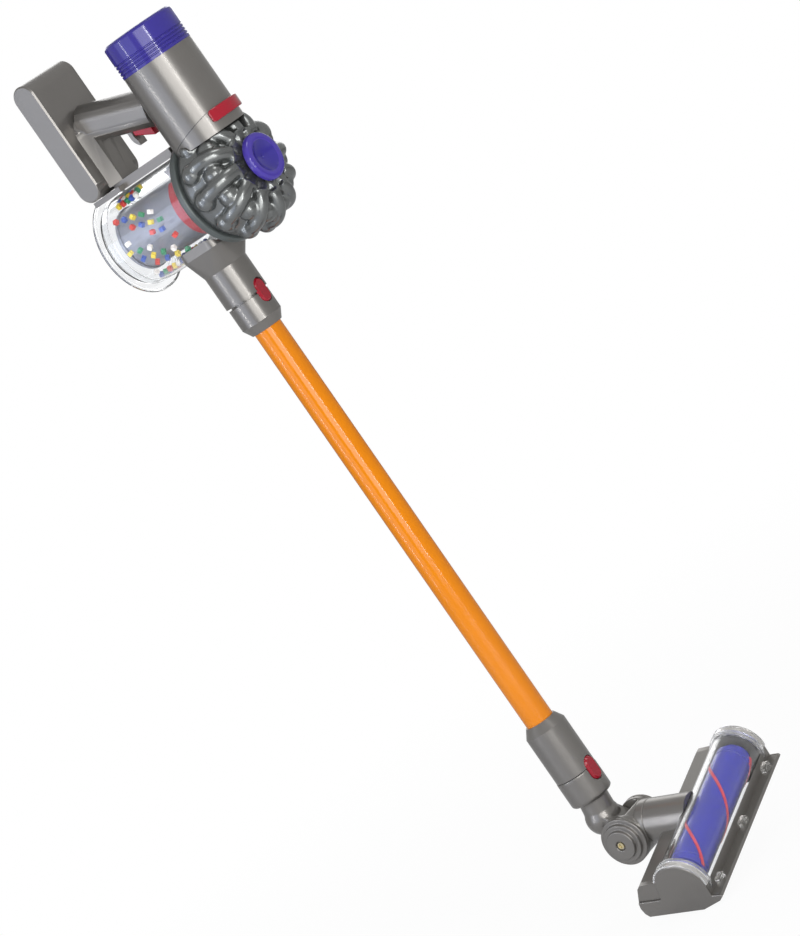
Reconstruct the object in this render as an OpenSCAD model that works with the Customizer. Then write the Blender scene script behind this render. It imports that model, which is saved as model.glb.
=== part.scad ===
// Toy stick vacuum cleaner, upright, as it hangs from a hand on the grip.
// Frame: +X to the front, +Y to the far side, +Z up along the wand, origin in the middle of the grip.

/* [Wand] */
// Outer diameter of the orange tube
wand_d = 20; // [18:0.5:22]
// Length of tube seen between the cuffs
wand_len = 315; // [260:1:360]
// Wall of the tube
wand_wall = 1.6; // [1.2:0.1:2.4]
// How far the tube goes into each cuff
wand_seat = 13; // [10:0.5:14]
// Outer diameter of the cuffs
cuff_d = 30; // [29:0.5:32]
// Height of the upper cuff
cuff_h = 22; // [21:0.5:26]
// Height of the lower cuff
lower_cuff_h = 42; // [36:0.5:48]
// Height of the tapered end of each cuff
cuff_taper_h = 6.5; // [4:0.5:8]
// Height from the top of the wand to the middle of the grip
grip_rise = 167; // [160:1:176]

/* [Bin and cyclones] */
// Height of the bin axis above the top of the wand
bin_rise = 93.5; // [90:0.5:98]
// Outer diameter of the clear bin
bin_d = 63.6; // [60:0.2:66]
// Wall of the clear bin
bin_wall = 1.6; // [1.2:0.1:2]
// Where the skirt ring starts, forward of the wand axis
skirt_x = 29.2; // [28:0.2:31]
// Thickness of the skirt ring
skirt_t = 5.2; // [4:0.2:6]
// Outer diameter of the skirt ring
skirt_d = 76.6; // [73:0.2:78]
// How far the bin reaches behind the wand axis
bin_back = 51.4; // [48:0.2:53]
// Diameter of the lid rim
lid_d = 73.4; // [70:0.2:74]
// Diameter of the inner shroud
shroud_d = 43; // [38:0.5:46]
// Number of cyclone ducts
duct_n = 12; // [10:1:13]
// Outer diameter of the cyclone cluster
cluster_d = 85; // [82:0.5:88]
// Diameter of the purple boss
boss_d = 33; // [30:0.5:35]
// Side of one bead
bead = 2.9; // [2.2:0.1:3]

/* [Barrel and grip] */
// Diameter of the motor barrel
barrel_d = 51; // [49:0.5:52]
// Distance from the wand axis forward to the barrel axis
barrel_x = 51.8; // [51:0.2:53]
// Height of the barrel seam above the bin axis
seam_rise = 43; // [42:0.2:45]
// Height of the barrel above its seam
barrel_h = 46.5; // [44:0.5:50]
// Height of the purple cap
cap_h = 24; // [20:0.5:28]
// Wall of the body mouldings
wall = 2; // [1.6:0.1:2.4]
// Angle by which the grip drops toward the barrel
rake = 16; // [14:0.5:17]
// Grip measured front to back
grip_deep = 26; // [25:0.5:28]
// Grip measured side to side
grip_w = 21; // [20:0.5:23]

/* [Battery box] */
// Length of the battery box
pack_len = 89; // [86:0.5:94]
// Width of the battery box
pack_w = 49.4; // [49:0.2:54]
// Thickness of the battery box
pack_t = 18.4; // [18.2:0.2:20]
// Top face of the battery box, behind the wand axis
pack_top = 29.4; // [28.8:0.2:30]
// Height of the middle of the box above the middle of the grip
pack_rise = 7.4; // [6:0.2:9]

/* [Floor head] */
// Length of the head from end to end
head_len = 130; // [120:1:140]
// Depth of the head from back to front
head_deep = 64; // [63:0.5:67]
// Distance from the hinge axis to the back of the head
head_back = 20.4; // [19:0.2:23]
// Height of the hinge axis above the sole
hinge_h = 20.8; // [20:0.2:22]
// Height of the swivel axis above the hinge axis
neck_rise = 5; // [4:0.2:6]
// Diameter of the roller
roller_d = 26; // [24:0.2:27]
// Distance of the roller axis behind the front of the head
roller_back = 25; // [24.5:0.5:26]
// Height of the roller axis above the sole
roller_h = 22; // [21.6:0.2:23]
// Tip-back angle of the wand at rest
hinge_rest = 14; // [0:1:30]
// Side-roll angle of the head at rest
swivel_rest = 16; // [0:1:30]

/* [Hidden] */
$fa = 6;
$fs = 0.7;

// Colours of the mouldings
grey = "#74706c";
dark = "#444a48";
iron = "#5a5c5c";
purple = "#3a348f";
red = "#b21230";
orange = "#f58c14";
clear = "#dfe8ee";
pale = "#c9ccd0";
steel = "#b9bcc0";

// Clearances
eps = 0.01;
fit = 0.05;
slip = 0.3;
seat = 0.02;

// Levels along the wand
wand_top = -grip_rise;
wand_low = wand_top - wand_len;
cuff_top = wand_top + cuff_h;
joint_gap = 1.6;
neck_low = cuff_top + joint_gap;
neck_d = cuff_d + 1.6;
lower_cuff_low = wand_low - lower_cuff_h;
socket_h = 20;
socket_top = lower_cuff_low - slip;
socket_low = socket_top - socket_h;
spigot_d = cuff_d - 4.8;
spigot_len = 12;
air_d = 15;

// Levels of the main unit
bin_z = wand_top + bin_rise;
bin_in = bin_d / 2 - bin_wall;
seam_z = bin_z + seam_rise;
barrel_r = barrel_d / 2;
barrel_in = barrel_r - wall;
barrel_top = seam_z + barrel_h;
cap_top = barrel_top + cap_h;
skirt_end = skirt_x + skirt_t;
housing_h = 14;
housing_low = seam_z - housing_h;
lid_t = 4;
lid_in = bin_back - lid_t;

// Cyclone cluster, measured along X and out from the bin axis
cluster_r = cluster_d / 2;
duct_r = 5.2;
duct_bend = 15;
duct_axis_r = cluster_r - duct_r - duct_bend;
duct_axis_x = skirt_end + 20;
duct_start = -4;
duct_sweep = 118;
duct_lean = 12;
duct_inner_r = 3.7;
dome_top_x = duct_axis_x + duct_bend + 3.4;
dome_top_r = 13;
dome_r = skirt_d / 2 - 3.3;
dome_swell = 1.2;
dome_h = dome_top_x - skirt_end;
bulb_r = 7.2;
bulb_out = cluster_r - bulb_r + 0.6;
bulb_x = skirt_end + 13;
cone_r = 4.4;
cone_out = 31;
knob_r = 6.4;
knob_out = 29;
knob_x = duct_axis_x + 5;
boss_t = 5.4;
boss_x = duct_axis_x + duct_bend + duct_r + slip;

// Grip, trigger and hook
grip_r = grip_w / 2;
grip_half = grip_deep / 2;
trigger_w = 9;
trigger_low_x = 3.5;
trigger_high_x = 18.5;
trigger_travel = 2.5;
trigger_top_z = -9;
trigger_stand_low = 2;
trigger_stand_high = 4.6;
hook_w = 8;
hook_x = 7.5;
hook_z = -16.5;
hook_r = 8.5;
hook_t = 3.2;
switch_h = 6;
spring_d = 3.2;

// Battery box
pack_low = pack_top + pack_t;
pack_mid = pack_top + pack_t / 2;
pack_edge = 1;
pack_wall = 1.6;
cell_d = 14.5;
cell_len = 50.5;
cell_n = 3;
cell_pitch = cell_d + 0.6;
contact_t = 0.6;
contact_spring = 3;
contact_w = 10;
coil_d = 9;
coil_tip_d = 5;
bay_len = cell_len + 2 * (contact_t + contact_spring);
shoe_h = 7.8;
shoe_top_w = 18.4;
shoe_base_w = 28.6;
shoe_round_z = 1.2;
door_len = bay_len + 12;
door_w = 40;
door_t = pack_wall;

// Rail behind the bin
rail_z = bin_z + bin_d / 2 + 0.7;
rail_t = 6;
rail_w = 23.4;
rail_foot_w = 35;
rail_foot_t = 3.6;
rail_top_x = barrel_x - barrel_r;

// Release buttons
button_len = 17;
button_w = 10.6;
button_stand = 0.9;
button_t = 2;
button_travel = 0.9;
button_gap = 0.4;

// Motor and fan
motor_d = 24;
motor_h = 26;
fan_d = 2 * barrel_in - 4;
fan_z = seam_z + 3;
fan_h = 7;
motor_z = fan_z + fan_h + 3;
shaft_d = 2;
rib_t = 3;

// Elbow, hinge and swivel
hinge_x = 14;
hinge_drop = 32.4;
hinge_z = socket_low - hinge_drop;
axle_r = 2.5;
tongue_w = 21;
tongue_r = 9;
tongue_t = 13;
cheek_gap = 0.5;
cheek_t = 4;
cheek_in = tongue_w / 2 + cheek_gap;
cheek_out = cheek_in + cheek_t;
barrel_hinge_r = 17;
web_in = tongue_r + 0.6;
web_from = -112;
web_to = 78;
arm_r = 10.6;
bulge_r = 12.4;
bulge_x = -2;
bulge_drop = 15;
hinge_cap_r = 17;
cap_step = 2.6;
neck_r = 14.6;
swivel_seam = barrel_hinge_r + slip;
stub_r = 10.7;
stub_end = 30;

// Floor head, measured from the swivel axis over the hinge
sole_z = -hinge_h - neck_rise;
head_front = head_back + head_deep;
roller_x = head_front - roller_back;
roller_z = sole_z + roller_h;
cover_r = roller_d / 2 + 4.6;
cover_t = 1.5;
cover_rim = 1.4;
cover_rim_w = 2.6;
plate_t = 5;
ledge_h = 27.4;
ledge_step = 13;
front_lip_h = 10.6;
toe_len = 19;
sole_t = 2;
inner_len = head_len - 2 * plate_t;
roller_len = inner_len - 10;
roller_axle_r = 2;
strip_d = 2.4;
strip_proud = 0.3;
strip_turn = 350;

// Common shapes

// Cylinder along X from x0 to x1
module xcyl(r, x0, x1) {
  translate([x0, 0, 0]) rotate([0, 90, 0]) cylinder(r = r, h = x1 - x0);
}

// Cylinder along Y, centred
module ycyl(r, h) {
  rotate([90, 0, 0]) cylinder(r = r, h = h, center = true);
}

// Turned profile around X, points given as [radius, x]
module xturn(points) {
  rotate([0, 90, 0]) rotate_extrude() polygon(points);
}

// Places its children on the bin axis
module on_bin() {
  translate([0, 0, bin_z]) children();
}

// Places its children on the barrel axis at a height
module on_barrel(z) {
  translate([barrel_x, 0, z]) children();
}

// Places its children at the hinge as the swivel housing stands at rest
module at_hinge() {
  translate([hinge_x, 0, hinge_z]) rotate([0, hinge_rest, 0]) children();
}

// Places its children at the hinge as the head stands at rest
module at_head() {
  at_hinge() translate([0, 0, neck_rise]) rotate([swivel_rest, 0, 0]) children();
}

// Tube along Z
module tube(d, bore, h) {
  difference() {
    cylinder(d = d, h = h);
    translate([0, 0, -eps]) cylinder(d = bore, h = h + 2 * eps);
  }
}

// Flat-sided oval along X: grip section with its long side in Z
module grip_bar(grow, x0, x1) {
  lobe = grip_half - grip_r;
  rotate([0, rake, 0]) {
    for (side = [-1, 1]) translate([0, 0, side * lobe]) xcyl(grip_r + grow, x0, x1);
    translate([x0, -grip_r - grow, -lobe]) cube([x1 - x0, 2 * (grip_r + grow), 2 * lobe]);
  }
}

// Battery box with bevelled sides and round ends
module pack_block() {
  r = pack_t / 2;
  end_z = pack_len / 2 - r;
  core_w = pack_w - 2 * pack_edge;
  translate([-pack_mid, 0, pack_rise]) {
    for (end = [-1, 1]) translate([0, 0, end * end_z]) {
      ycyl(r, core_w);
      for (side = [0, 1]) mirror([0, side, 0])
        translate([0, core_w / 2, 0]) rotate([-90, 0, 0])
          cylinder(r1 = r, r2 = r - pack_edge, h = pack_edge);
    }
    translate([0, 0, -end_z]) linear_extrude(2 * end_z) polygon([
      [-r, -core_w / 2], [pack_edge - r, -pack_w / 2], [r - pack_edge, -pack_w / 2], [r, -core_w / 2],
      [r, core_w / 2], [r - pack_edge, pack_w / 2], [pack_edge - r, pack_w / 2], [-r, core_w / 2]]);
  }
}

// Raised shoe with sloping sides that carries the grip on the battery box
module shoe() {
  low = rail_z + rail_t;
  sink = 1;
  translate([-pack_top, 0, 0]) {
    translate([0, 0, low]) linear_extrude(shoe_round_z - low) polygon([
      [-sink, -shoe_base_w / 2], [0, -shoe_base_w / 2], [shoe_h, -shoe_top_w / 2],
      [shoe_h, shoe_top_w / 2], [0, shoe_base_w / 2], [-sink, shoe_base_w / 2]]);
    translate([0, 0, shoe_round_z]) rotate([0, 90, 0])
      cylinder(d1 = shoe_base_w, d2 = shoe_top_w, h = shoe_h);
  }
}

// Curved finger hook in front of the grip
module hook() {
  translate([hook_x, 0, hook_z]) rotate([90, 0, 0]) translate([0, 0, -hook_w / 2]) {
    rotate([0, 0, 180]) rotate_extrude(angle = 112) translate([hook_r - hook_t, 0]) square([hook_t, hook_w]);
    translate([-hook_r, 0, 0]) cube([hook_t, hook_r, hook_w]);
  }
}

// Outside of both body halves together
module body_outside() {
  on_barrel(seam_z) cylinder(r = barrel_r, h = barrel_h);
  grip_bar(0, -pack_top, barrel_x - barrel_in - 1);
  pack_block();
  shoe();
  hook();
}

// Room for the cells and their contacts, open at the door
module battery_bay() {
  inner_w = cell_n * cell_pitch;
  translate([-pack_low + door_t, -inner_w / 2, pack_rise - bay_len / 2])
    cube([pack_t - 2 * pack_wall, inner_w, bay_len]);
  translate([-pack_low - eps, -door_w / 2, pack_rise - door_len / 2])
    cube([door_t + 2 * eps, door_w, door_len]);
}

// Slot for the trigger, the switch above it and the spring beside it
module trigger_room() {
  translate([trigger_low_x - slip, -trigger_w / 2 - slip, -grip_deep])
    cube([trigger_high_x - trigger_low_x + 2 * slip, trigger_w + 2 * slip,
      grip_deep + trigger_top_z + trigger_travel + slip]);
  translate([switch_x() - switch_len() / 2 - fit, -trigger_w / 2 - fit, trigger_top_z])
    cube([switch_len() + 2 * fit, trigger_w + 2 * fit, trigger_travel + slip + switch_h + fit]);
}

// Switch sits over the rear half of the trigger
function switch_len() = (trigger_high_x - trigger_low_x) * 0.55;
function switch_x() = trigger_low_x + switch_len() / 2 + 0.4;
function spring_x() = trigger_high_x - spring_d / 2 - 1.2;
function switch_z() = trigger_top_z + trigger_travel + slip;

// Places its children at each body screw
module at_body_screws() {
  screw_inset = 8;
  for (end = [-1, 1]) translate([-pack_mid, 0, pack_rise + end * (pack_len / 2 - screw_inset)]) children();
  rotate([0, rake, 0]) translate([-screw_inset - 4, 0, 0]) children();
  for (z = [seam_z + 16, barrel_top - 9]) translate([barrel_x - barrel_r + wall + 2.2, 0, z]) children();
}

// Screw bosses inside the barrel, which is hollow there
module barrel_bosses() {
  boss_r = 2.8;
  intersection() {
    on_barrel(seam_z) cylinder(r = barrel_r - 0.5, h = barrel_h);
    for (z = [seam_z + 16, barrel_top - 9])
      translate([barrel_x - barrel_r + wall + 2.2, 0, z]) ycyl(boss_r, barrel_d);
  }
}

// Both halves as one, before they are parted at the middle
module body_whole() {
  difference() {
    union() {
      difference() {
        body_outside();
        on_barrel(seam_z - eps) cylinder(r = barrel_in, h = barrel_h + 2 * eps);
        battery_bay();
        trigger_room();
        latch_slot();
      }
      for (z = [motor_z + 3, motor_z + motor_h - 6]) on_barrel(z) tube(2 * barrel_in + 1, motor_d + 2 * fit, rib_t);
      barrel_bosses();
    }
    at_body_screws() screw_room();
    door_screw_room();
  }
}

// Space that one body screw takes from the far side
screw_d = 2.4;
screw_head_d = 4.6;
screw_head_h = 2;
screw_grip = 5;
function screw_head_y() = 7;
module screw_room() {
  rotate([-90, 0, 0]) {
    translate([0, 0, -screw_grip]) cylinder(d = screw_d + 2 * seat, h = screw_head_y() + screw_grip);
    translate([0, 0, screw_head_y() - screw_head_h]) cylinder(d = screw_head_d + 2 * slip, h = barrel_d);
  }
}

// Half space on one side of the middle
module half(side) {
  big = 400;
  translate([-big / 2, side > 0 ? 0 : -big, -big / 2]) cube([big, big, big]);
}

module body_near() {
  color(grey) intersection() {
    body_whole();
    half(-1);
  }
}

module body_far() {
  color(grey) intersection() {
    body_whole();
    half(1);
  }
}

module body_screws() {
  color(steel) at_body_screws() rotate([-90, 0, 0]) {
    translate([0, 0, -screw_grip + slip]) cylinder(d = screw_d, h = screw_head_y() + screw_grip - screw_head_h);
    difference() {
      translate([0, 0, screw_head_y() - screw_head_h]) cylinder(d = screw_head_d, h = screw_head_h);
      translate([0, 0, screw_head_y() - 1]) cross(3, 0.8, 2);
    }
  }
}

// Cross recess for a screwdriver
module cross(len, w, h) {
  translate([-len / 2, -w / 2, 0]) cube([len, w, h]);
  translate([-w / 2, -len / 2, 0]) cube([w, len, h]);
}

module filter_cap() {
  r = barrel_r + 0.4;
  edge = 3;
  groove = 0.7;
  pitch = 2.4;
  plug_h = 5;
  color(purple) on_barrel(barrel_top) difference() {
    union() {
      cylinder(r = r, h = cap_h - edge);
      translate([0, 0, cap_h - edge]) {
        cylinder(r = r - edge, h = edge);
        rotate_extrude() translate([r - edge, 0]) intersection() {
          circle(r = edge);
          square([edge, edge]);
        }
      }
      translate([0, 0, -plug_h]) cylinder(r = barrel_in - fit, h = plug_h);
    }
    for (i = [0:3]) translate([0, 0, 2 + i * pitch]) rotate_extrude()
      translate([r - groove, 0]) square([2 * groove, pitch * 0.45]);
    translate([0, 0, -plug_h - eps]) cylinder(r = barrel_in - fit - wall, h = cap_h + plug_h - wall - edge);
  }
}

module front_housing() {
  color(grey) difference() {
    on_barrel(housing_low) cylinder(r = barrel_r - 0.3, h = housing_h);
    on_barrel(housing_low - eps) cylinder(r = barrel_in - 0.6, h = housing_h + 2 * eps);
    on_bin() xcyl(skirt_d / 2 + seat, skirt_x - 8, skirt_end + seat);
    latch_slot();
  }
}

// Red saddle that rides on the barrel at the seam
latch_span = 38;
latch_h = 8.4;
latch_t = 2.6;
latch_tongue_w = 8;
latch_tongue_h = 3;
latch_travel = 3;

module latch_slot() {
  translate([barrel_x, -latch_tongue_w / 2 - slip, seam_z - latch_h + 1])
    cube([barrel_d, latch_tongue_w + 2 * slip, latch_h - 1 - eps]);
}

module release_latch() {
  low = seam_z - latch_h + 0.4;
  inside = barrel_r + slip;
  color(red) {
    on_barrel(low) rotate([0, 0, -latch_span]) rotate_extrude(angle = 2 * latch_span)
      translate([inside, 0]) polygon([[0, 0], [latch_t - 0.8, 0], [latch_t, 0.8], [latch_t, latch_h - 0.8],
        [latch_t - 0.8, latch_h], [0, latch_h]]);
    translate([barrel_x + barrel_r - 3.2, -latch_tongue_w / 2, low + 1.4])
      cube([4, latch_tongue_w, latch_tongue_h]);
  }
}

// One duct of the cluster in the plane of X and +Z, from boss to skirt
module duct() {
  translate([duct_axis_x, 0, duct_axis_r]) rotate([0, 0, duct_lean]) {
    rotate([90, 0, 0]) rotate([0, 0, duct_start]) rotate_extrude(angle = duct_sweep)
      translate([duct_bend, 0]) circle(r = duct_r);
  }
  translate([duct_axis_x + duct_bend - 0.4, 0, dome_top_r - 1])
    cylinder(r1 = duct_inner_r, r2 = duct_r - 0.2, h = duct_axis_r - dome_top_r + 2);
  translate([bulb_x, -2.4, bulb_out]) sphere(r = bulb_r);
  lean_to([bulb_x, -2.4, bulb_out], [skirt_end + 1.2, -2.4, cone_out], bulb_r - 0.6, cone_r);
}

// Round bar with a taper from one point to another
module lean_to(from, to, r1, r2) {
  run = to - from;
  len = norm(run);
  tilt = acos(run[2] / len);
  turn = atan2(run[1], run[0]);
  translate(from) rotate([0, tilt, turn]) cylinder(r1 = r1, r2 = r2, h = len);
}

module cyclone_cluster() {
  step = 360 / duct_n;
  color(iron) difference() {
    on_bin() {
      xturn([[0, skirt_end], [dome_r, skirt_end], [dome_r + dome_swell, skirt_end + dome_h * 0.13],
        [dome_r - dome_swell, skirt_end + dome_h * 0.36], [dome_r * 0.83, skirt_end + dome_h * 0.6],
        [dome_r * 0.63, skirt_end + dome_h * 0.81], [dome_top_r, dome_top_x], [0, dome_top_x]]);
      for (i = [0:duct_n - 1]) rotate([i * step, 0, 0]) duct();
      for (i = [0:duct_n - 1]) rotate([(i + 0.5) * step, 0, 0]) translate([knob_x, 0, knob_out]) sphere(r = knob_r);
    }
    on_barrel(housing_low) cylinder(r = barrel_r + 0.6, h = barrel_d);
    on_bin() xcyl(cluster_d, skirt_x - 10, skirt_end);
    on_bin() xcyl(boss_d / 2 + slip, boss_x - slip, boss_x + 20);
  }
}

module cyclone_boss() {
  edge = 1.4;
  dish_r = 26;
  dish_d = 3.2;
  dimple_r = 1.4;
  r = boss_d / 2;
  color(purple) on_bin() difference() {
    union() {
      xcyl(9, dome_top_x, boss_x + 1);
      xturn([[0, boss_x], [r - edge, boss_x], [r, boss_x + edge], [r, boss_x + boss_t - edge],
        [r - edge, boss_x + boss_t], [0, boss_x + boss_t]]);
    }
    translate([boss_x + boss_t + dish_r - dish_d, 0, 0]) sphere(r = dish_r);
    translate([boss_x + boss_t - dish_d, 0, 0]) sphere(r = dimple_r);
  }
}

module skirt_ring() {
  r = skirt_d / 2;
  edge = 1.6;
  hole_r = 18;
  color(dark) on_bin() xturn([[hole_r, skirt_x], [r - edge, skirt_x], [r, skirt_x + edge],
    [r, skirt_end - edge], [r - edge, skirt_end], [hole_r, skirt_end]]);
}

module bin_tube() {
  foot = -lid_in;
  color(clear, 0.4) on_bin() xturn([[bin_in, foot], [bin_d / 2, foot], [bin_d / 2, skirt_x], [bin_in, skirt_x]]);
}

module bin_lid() {
  r = lid_d / 2;
  edge = 1.5;
  floor_t = 1.8;
  lip_in = bin_in - fit - 1.4;
  lip_x = 5;
  color(clear, 0.4) on_bin() xturn([[0, -bin_back], [r - edge, -bin_back], [r, edge - bin_back],
    [r, -lid_in - edge], [r - edge, -lid_in], [bin_in - fit, -lid_in], [bin_in - fit, lip_x - lid_in],
    [lip_in, lip_x - lid_in], [lip_in, floor_t - bin_back], [0, floor_t - bin_back]]);
}

module bin_shroud() {
  r = shroud_d / 2;
  gap_x = 6;
  end_t = 2;
  rim = 1;
  color(pale) on_bin() difference() {
    union() {
      xcyl(r, gap_x - bin_back, ring_x());
      xcyl(r + rim, gap_x - bin_back + 2, gap_x - bin_back + 4);
    }
    xcyl(r - wall, gap_x - bin_back + end_t, ring_x() + eps);
  }
}

// The red ring closes the shroud at the skirt, and the fins stand on top of the shroud behind it
ring_h = 7;
function ring_x() = skirt_x - ring_h - seat;

module shroud_ring() {
  collar_t = 1.2;
  collar_len = 17;
  open_half = 32;
  color(red) on_bin() {
    xturn([[shroud_d / 2 - wall, ring_x()], [bin_in - slip, ring_x()],
      [bin_in - slip, ring_x() + ring_h], [shroud_d / 2 - wall, ring_x() + ring_h]]);
    rotate([0, 90, 0]) rotate([0, 0, 180 + open_half]) rotate_extrude(angle = 360 - 2 * open_half)
      translate([shroud_d / 2 + seat, ring_x() - collar_len]) square([collar_t, collar_len + 1]);
  }
}

module shroud_fins() {
  fin_t = 1;
  fin_len = 9;
  fin_step = 8;
  fan_half = 28;
  saddle_t = 1.4;
  saddle_r = shroud_d / 2 + seat;
  fin_from = ring_x() - seat - fin_len;
  color(pale) on_bin() {
    rotate([0, 90, 0]) rotate([0, 0, 180 - fan_half]) rotate_extrude(angle = 2 * fan_half)
      translate([saddle_r, fin_from]) square([saddle_t, fin_len]);
    for (turn = [-fan_half + fin_step / 2:fin_step:fan_half]) rotate([turn, 0, 0])
      translate([fin_from + seat, -fin_t / 2, saddle_r + saddle_t / 2])
        cube([fin_len - 2 * seat, fin_t, bin_in - slip - saddle_r - saddle_t]);
  }
}

// Beads lie on the inside of the bin wall: turn around the axis, place along it, and a spin each
bead_pitch = bead * 1.5;
module bead_at(turn, x, spin) {
  on_bin() rotate([turn, 0, 0]) translate([x, 0, bin_in - seat - bead * 0.56]) rotate([0, 0, spin])
    cube(bead, center = true);
}

// One colour of beads: a pile on the lower wall, a patch under the rail and a few flung on the near wall
module beads(hue, phase) {
  turn_step = bead_pitch / bin_in * 180 / PI;
  first_x = 9 - bin_back;
  color(hue) {
    for (row = [0:6]) for (col = [-3:3])
      if ((row * 2 + col * 3 + 30) % 5 == phase)
        bead_at(180 + col * turn_step, first_x + 5 + row * bead_pitch, row * 37 + col * 23);
    for (row = [0:4]) for (col = [0:2])
      if ((row * 3 + col + 20) % 5 == phase)
        bead_at(14 + col * turn_step, first_x + 10 + row * bead_pitch, row * 29 + col * 41);
    for (i = [0:4])
      bead_at(52 + i * 19 + phase * 3.7, first_x + 7 + (i * 13 + phase * 8) % 42, i * 33 + phase * 17);
  }
}

module beads_red() {
  beads("#d8372a", 0);
}

module beads_blue() {
  beads("#2c55b0", 1);
}

module beads_yellow() {
  beads("#ecd23a", 2);
}

module beads_green() {
  beads("#1f8a5c", 3);
}

module beads_white() {
  beads("#f3efe8", 4);
}

module bin_rail() {
  recess = 2.4;
  margin = 5;
  foot_low = -lid_in + slip;
  color(grey) difference() {
    union() {
      translate([seat - pack_top, -rail_w / 2, rail_z]) cube([rail_top_x + pack_top - 2 * seat, rail_w, rail_t]);
      translate([foot_low, -rail_foot_w / 2, rail_z])
        cube([-foot_low - pack_top + shoe_h, rail_foot_w, rail_foot_t]);
    }
    translate([-pack_top + shoe_h + margin, -rail_w / 2 + margin, rail_z + rail_t - recess])
      cube([rail_top_x + pack_top - shoe_h - 2 * margin, rail_w - 2 * margin, recess + eps]);
    on_bin() xcyl(bin_d / 2 + seat, -bin_back, skirt_x);
    on_bin() xcyl(skirt_d / 2 + slip, skirt_x - slip, skirt_end);
  }
}

// Oval prism along X that the release buttons and their pockets are cut from
module button_oval(grow, x0, x1, z) {
  r = button_w / 2 + grow;
  half_len = (button_len - button_w) / 2;
  for (end = [-1, 1]) translate([0, 0, z + end * half_len]) xcyl(r, x0, x1);
  translate([x0, -r, z - half_len]) cube([x1 - x0, 2 * r, 2 * half_len]);
}

// Button with its crowned face, under a cylinder of the cuff's own axis
module button(outer_r, z) {
  face = outer_r + button_stand;
  color(red) intersection() {
    button_oval(0, face - button_t - button_stand, face + 1, z);
    translate([0, 0, z - button_len]) cylinder(r = face, h = 2 * button_len);
  }
}

neck_button_z = cuff_top + 0.6;
lower_button_z = lower_cuff_low - 2;

module neck_button() {
  button(cuff_d / 2, neck_button_z);
}

module cuff_button() {
  button(cuff_d / 2, lower_button_z);
}

// Pocket for a button, down to a flat that is clear of its travel
button_floor = cuff_d / 2 - button_t - button_travel - slip;
module button_room(z) {
  button_oval(button_gap, button_floor, cuff_d, z);
}

// Flat on a spigot under a button, open to the spigot's end so that the joint can part
module button_flat(z, way) {
  w = button_w + 2 * button_gap;
  translate([button_floor, -w / 2, way > 0 ? z : z - cuff_d]) cube([cuff_d, w, cuff_d]);
}

module inlet_neck() {
  flare_low = bin_z - bin_d / 2 - 14;
  flare_w = 43;
  flare_back = 13;
  flare_front = 21;
  flare_round = 7;
  top = bin_z - bin_d / 4;
  color(grey) difference() {
    union() {
      translate([0, 0, neck_low]) cylinder(d = neck_d, h = top - neck_low);
      hull() {
        translate([0, 0, flare_low]) cylinder(d = neck_d - 0.2, h = 1);
        for (x = [-flare_back + flare_round, flare_front - flare_round])
          for (side = [-1, 1]) translate([x, side * (flare_w / 2 - flare_round), flare_low + 16])
            cylinder(r = flare_round, h = top - flare_low - 16);
      }
      translate([0, 0, neck_low - spigot_len]) cylinder(d = spigot_d, h = spigot_len + 1);
    }
    on_bin() xcyl(bin_d / 2 + seat, -bin_back, skirt_x + 5);
    translate([0, 0, neck_low - spigot_len - eps]) cylinder(d = air_d, h = spigot_len + 24);
    button_room(neck_button_z);
    button_flat(neck_button_z, -1);
  }
}

module wand_cuff() {
  color(grey) difference() {
    union() {
      translate([0, 0, wand_top]) cylinder(d1 = wand_d + 2.6, d2 = cuff_d, h = cuff_taper_h);
      translate([0, 0, wand_top + cuff_taper_h]) cylinder(d = cuff_d, h = cuff_h - cuff_taper_h);
    }
    translate([0, 0, wand_top - eps]) cylinder(d = wand_d - 2 * wand_wall, h = cuff_h + 1);
    translate([0, 0, wand_top - eps]) cylinder(d = wand_d + 2 * seat, h = cuff_seat() + eps);
    translate([0, 0, neck_low - spigot_len - slip]) cylinder(d = spigot_d + 2 * slip, h = spigot_len + slip);
    button_room(neck_button_z);
  }
}

// The tube stops short of the spigot's socket
function cuff_seat() = min(wand_seat, cuff_h + joint_gap - spigot_len - 1.2);

module wand_tube() {
  color(orange) translate([0, 0, wand_low - wand_seat])
    tube(wand_d, wand_d - 2 * wand_wall, wand_len + wand_seat + cuff_seat());
}

module lower_cuff() {
  color(grey) difference() {
    union() {
      translate([0, 0, wand_low - cuff_taper_h]) cylinder(d1 = cuff_d, d2 = wand_d + 2, h = cuff_taper_h);
      translate([0, 0, lower_cuff_low]) cylinder(d = cuff_d, h = lower_cuff_h - cuff_taper_h);
    }
    translate([0, 0, lower_cuff_low - eps]) cylinder(d = wand_d - 2 * wand_wall, h = lower_cuff_h + 1);
    translate([0, 0, wand_low - wand_seat]) cylinder(d = wand_d + 2 * seat, h = wand_seat + 1);
    translate([0, 0, lower_cuff_low - eps]) cylinder(d = spigot_d + 2 * slip, h = spigot_len + 2 * slip);
    button_room(lower_button_z);
  }
}

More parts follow.
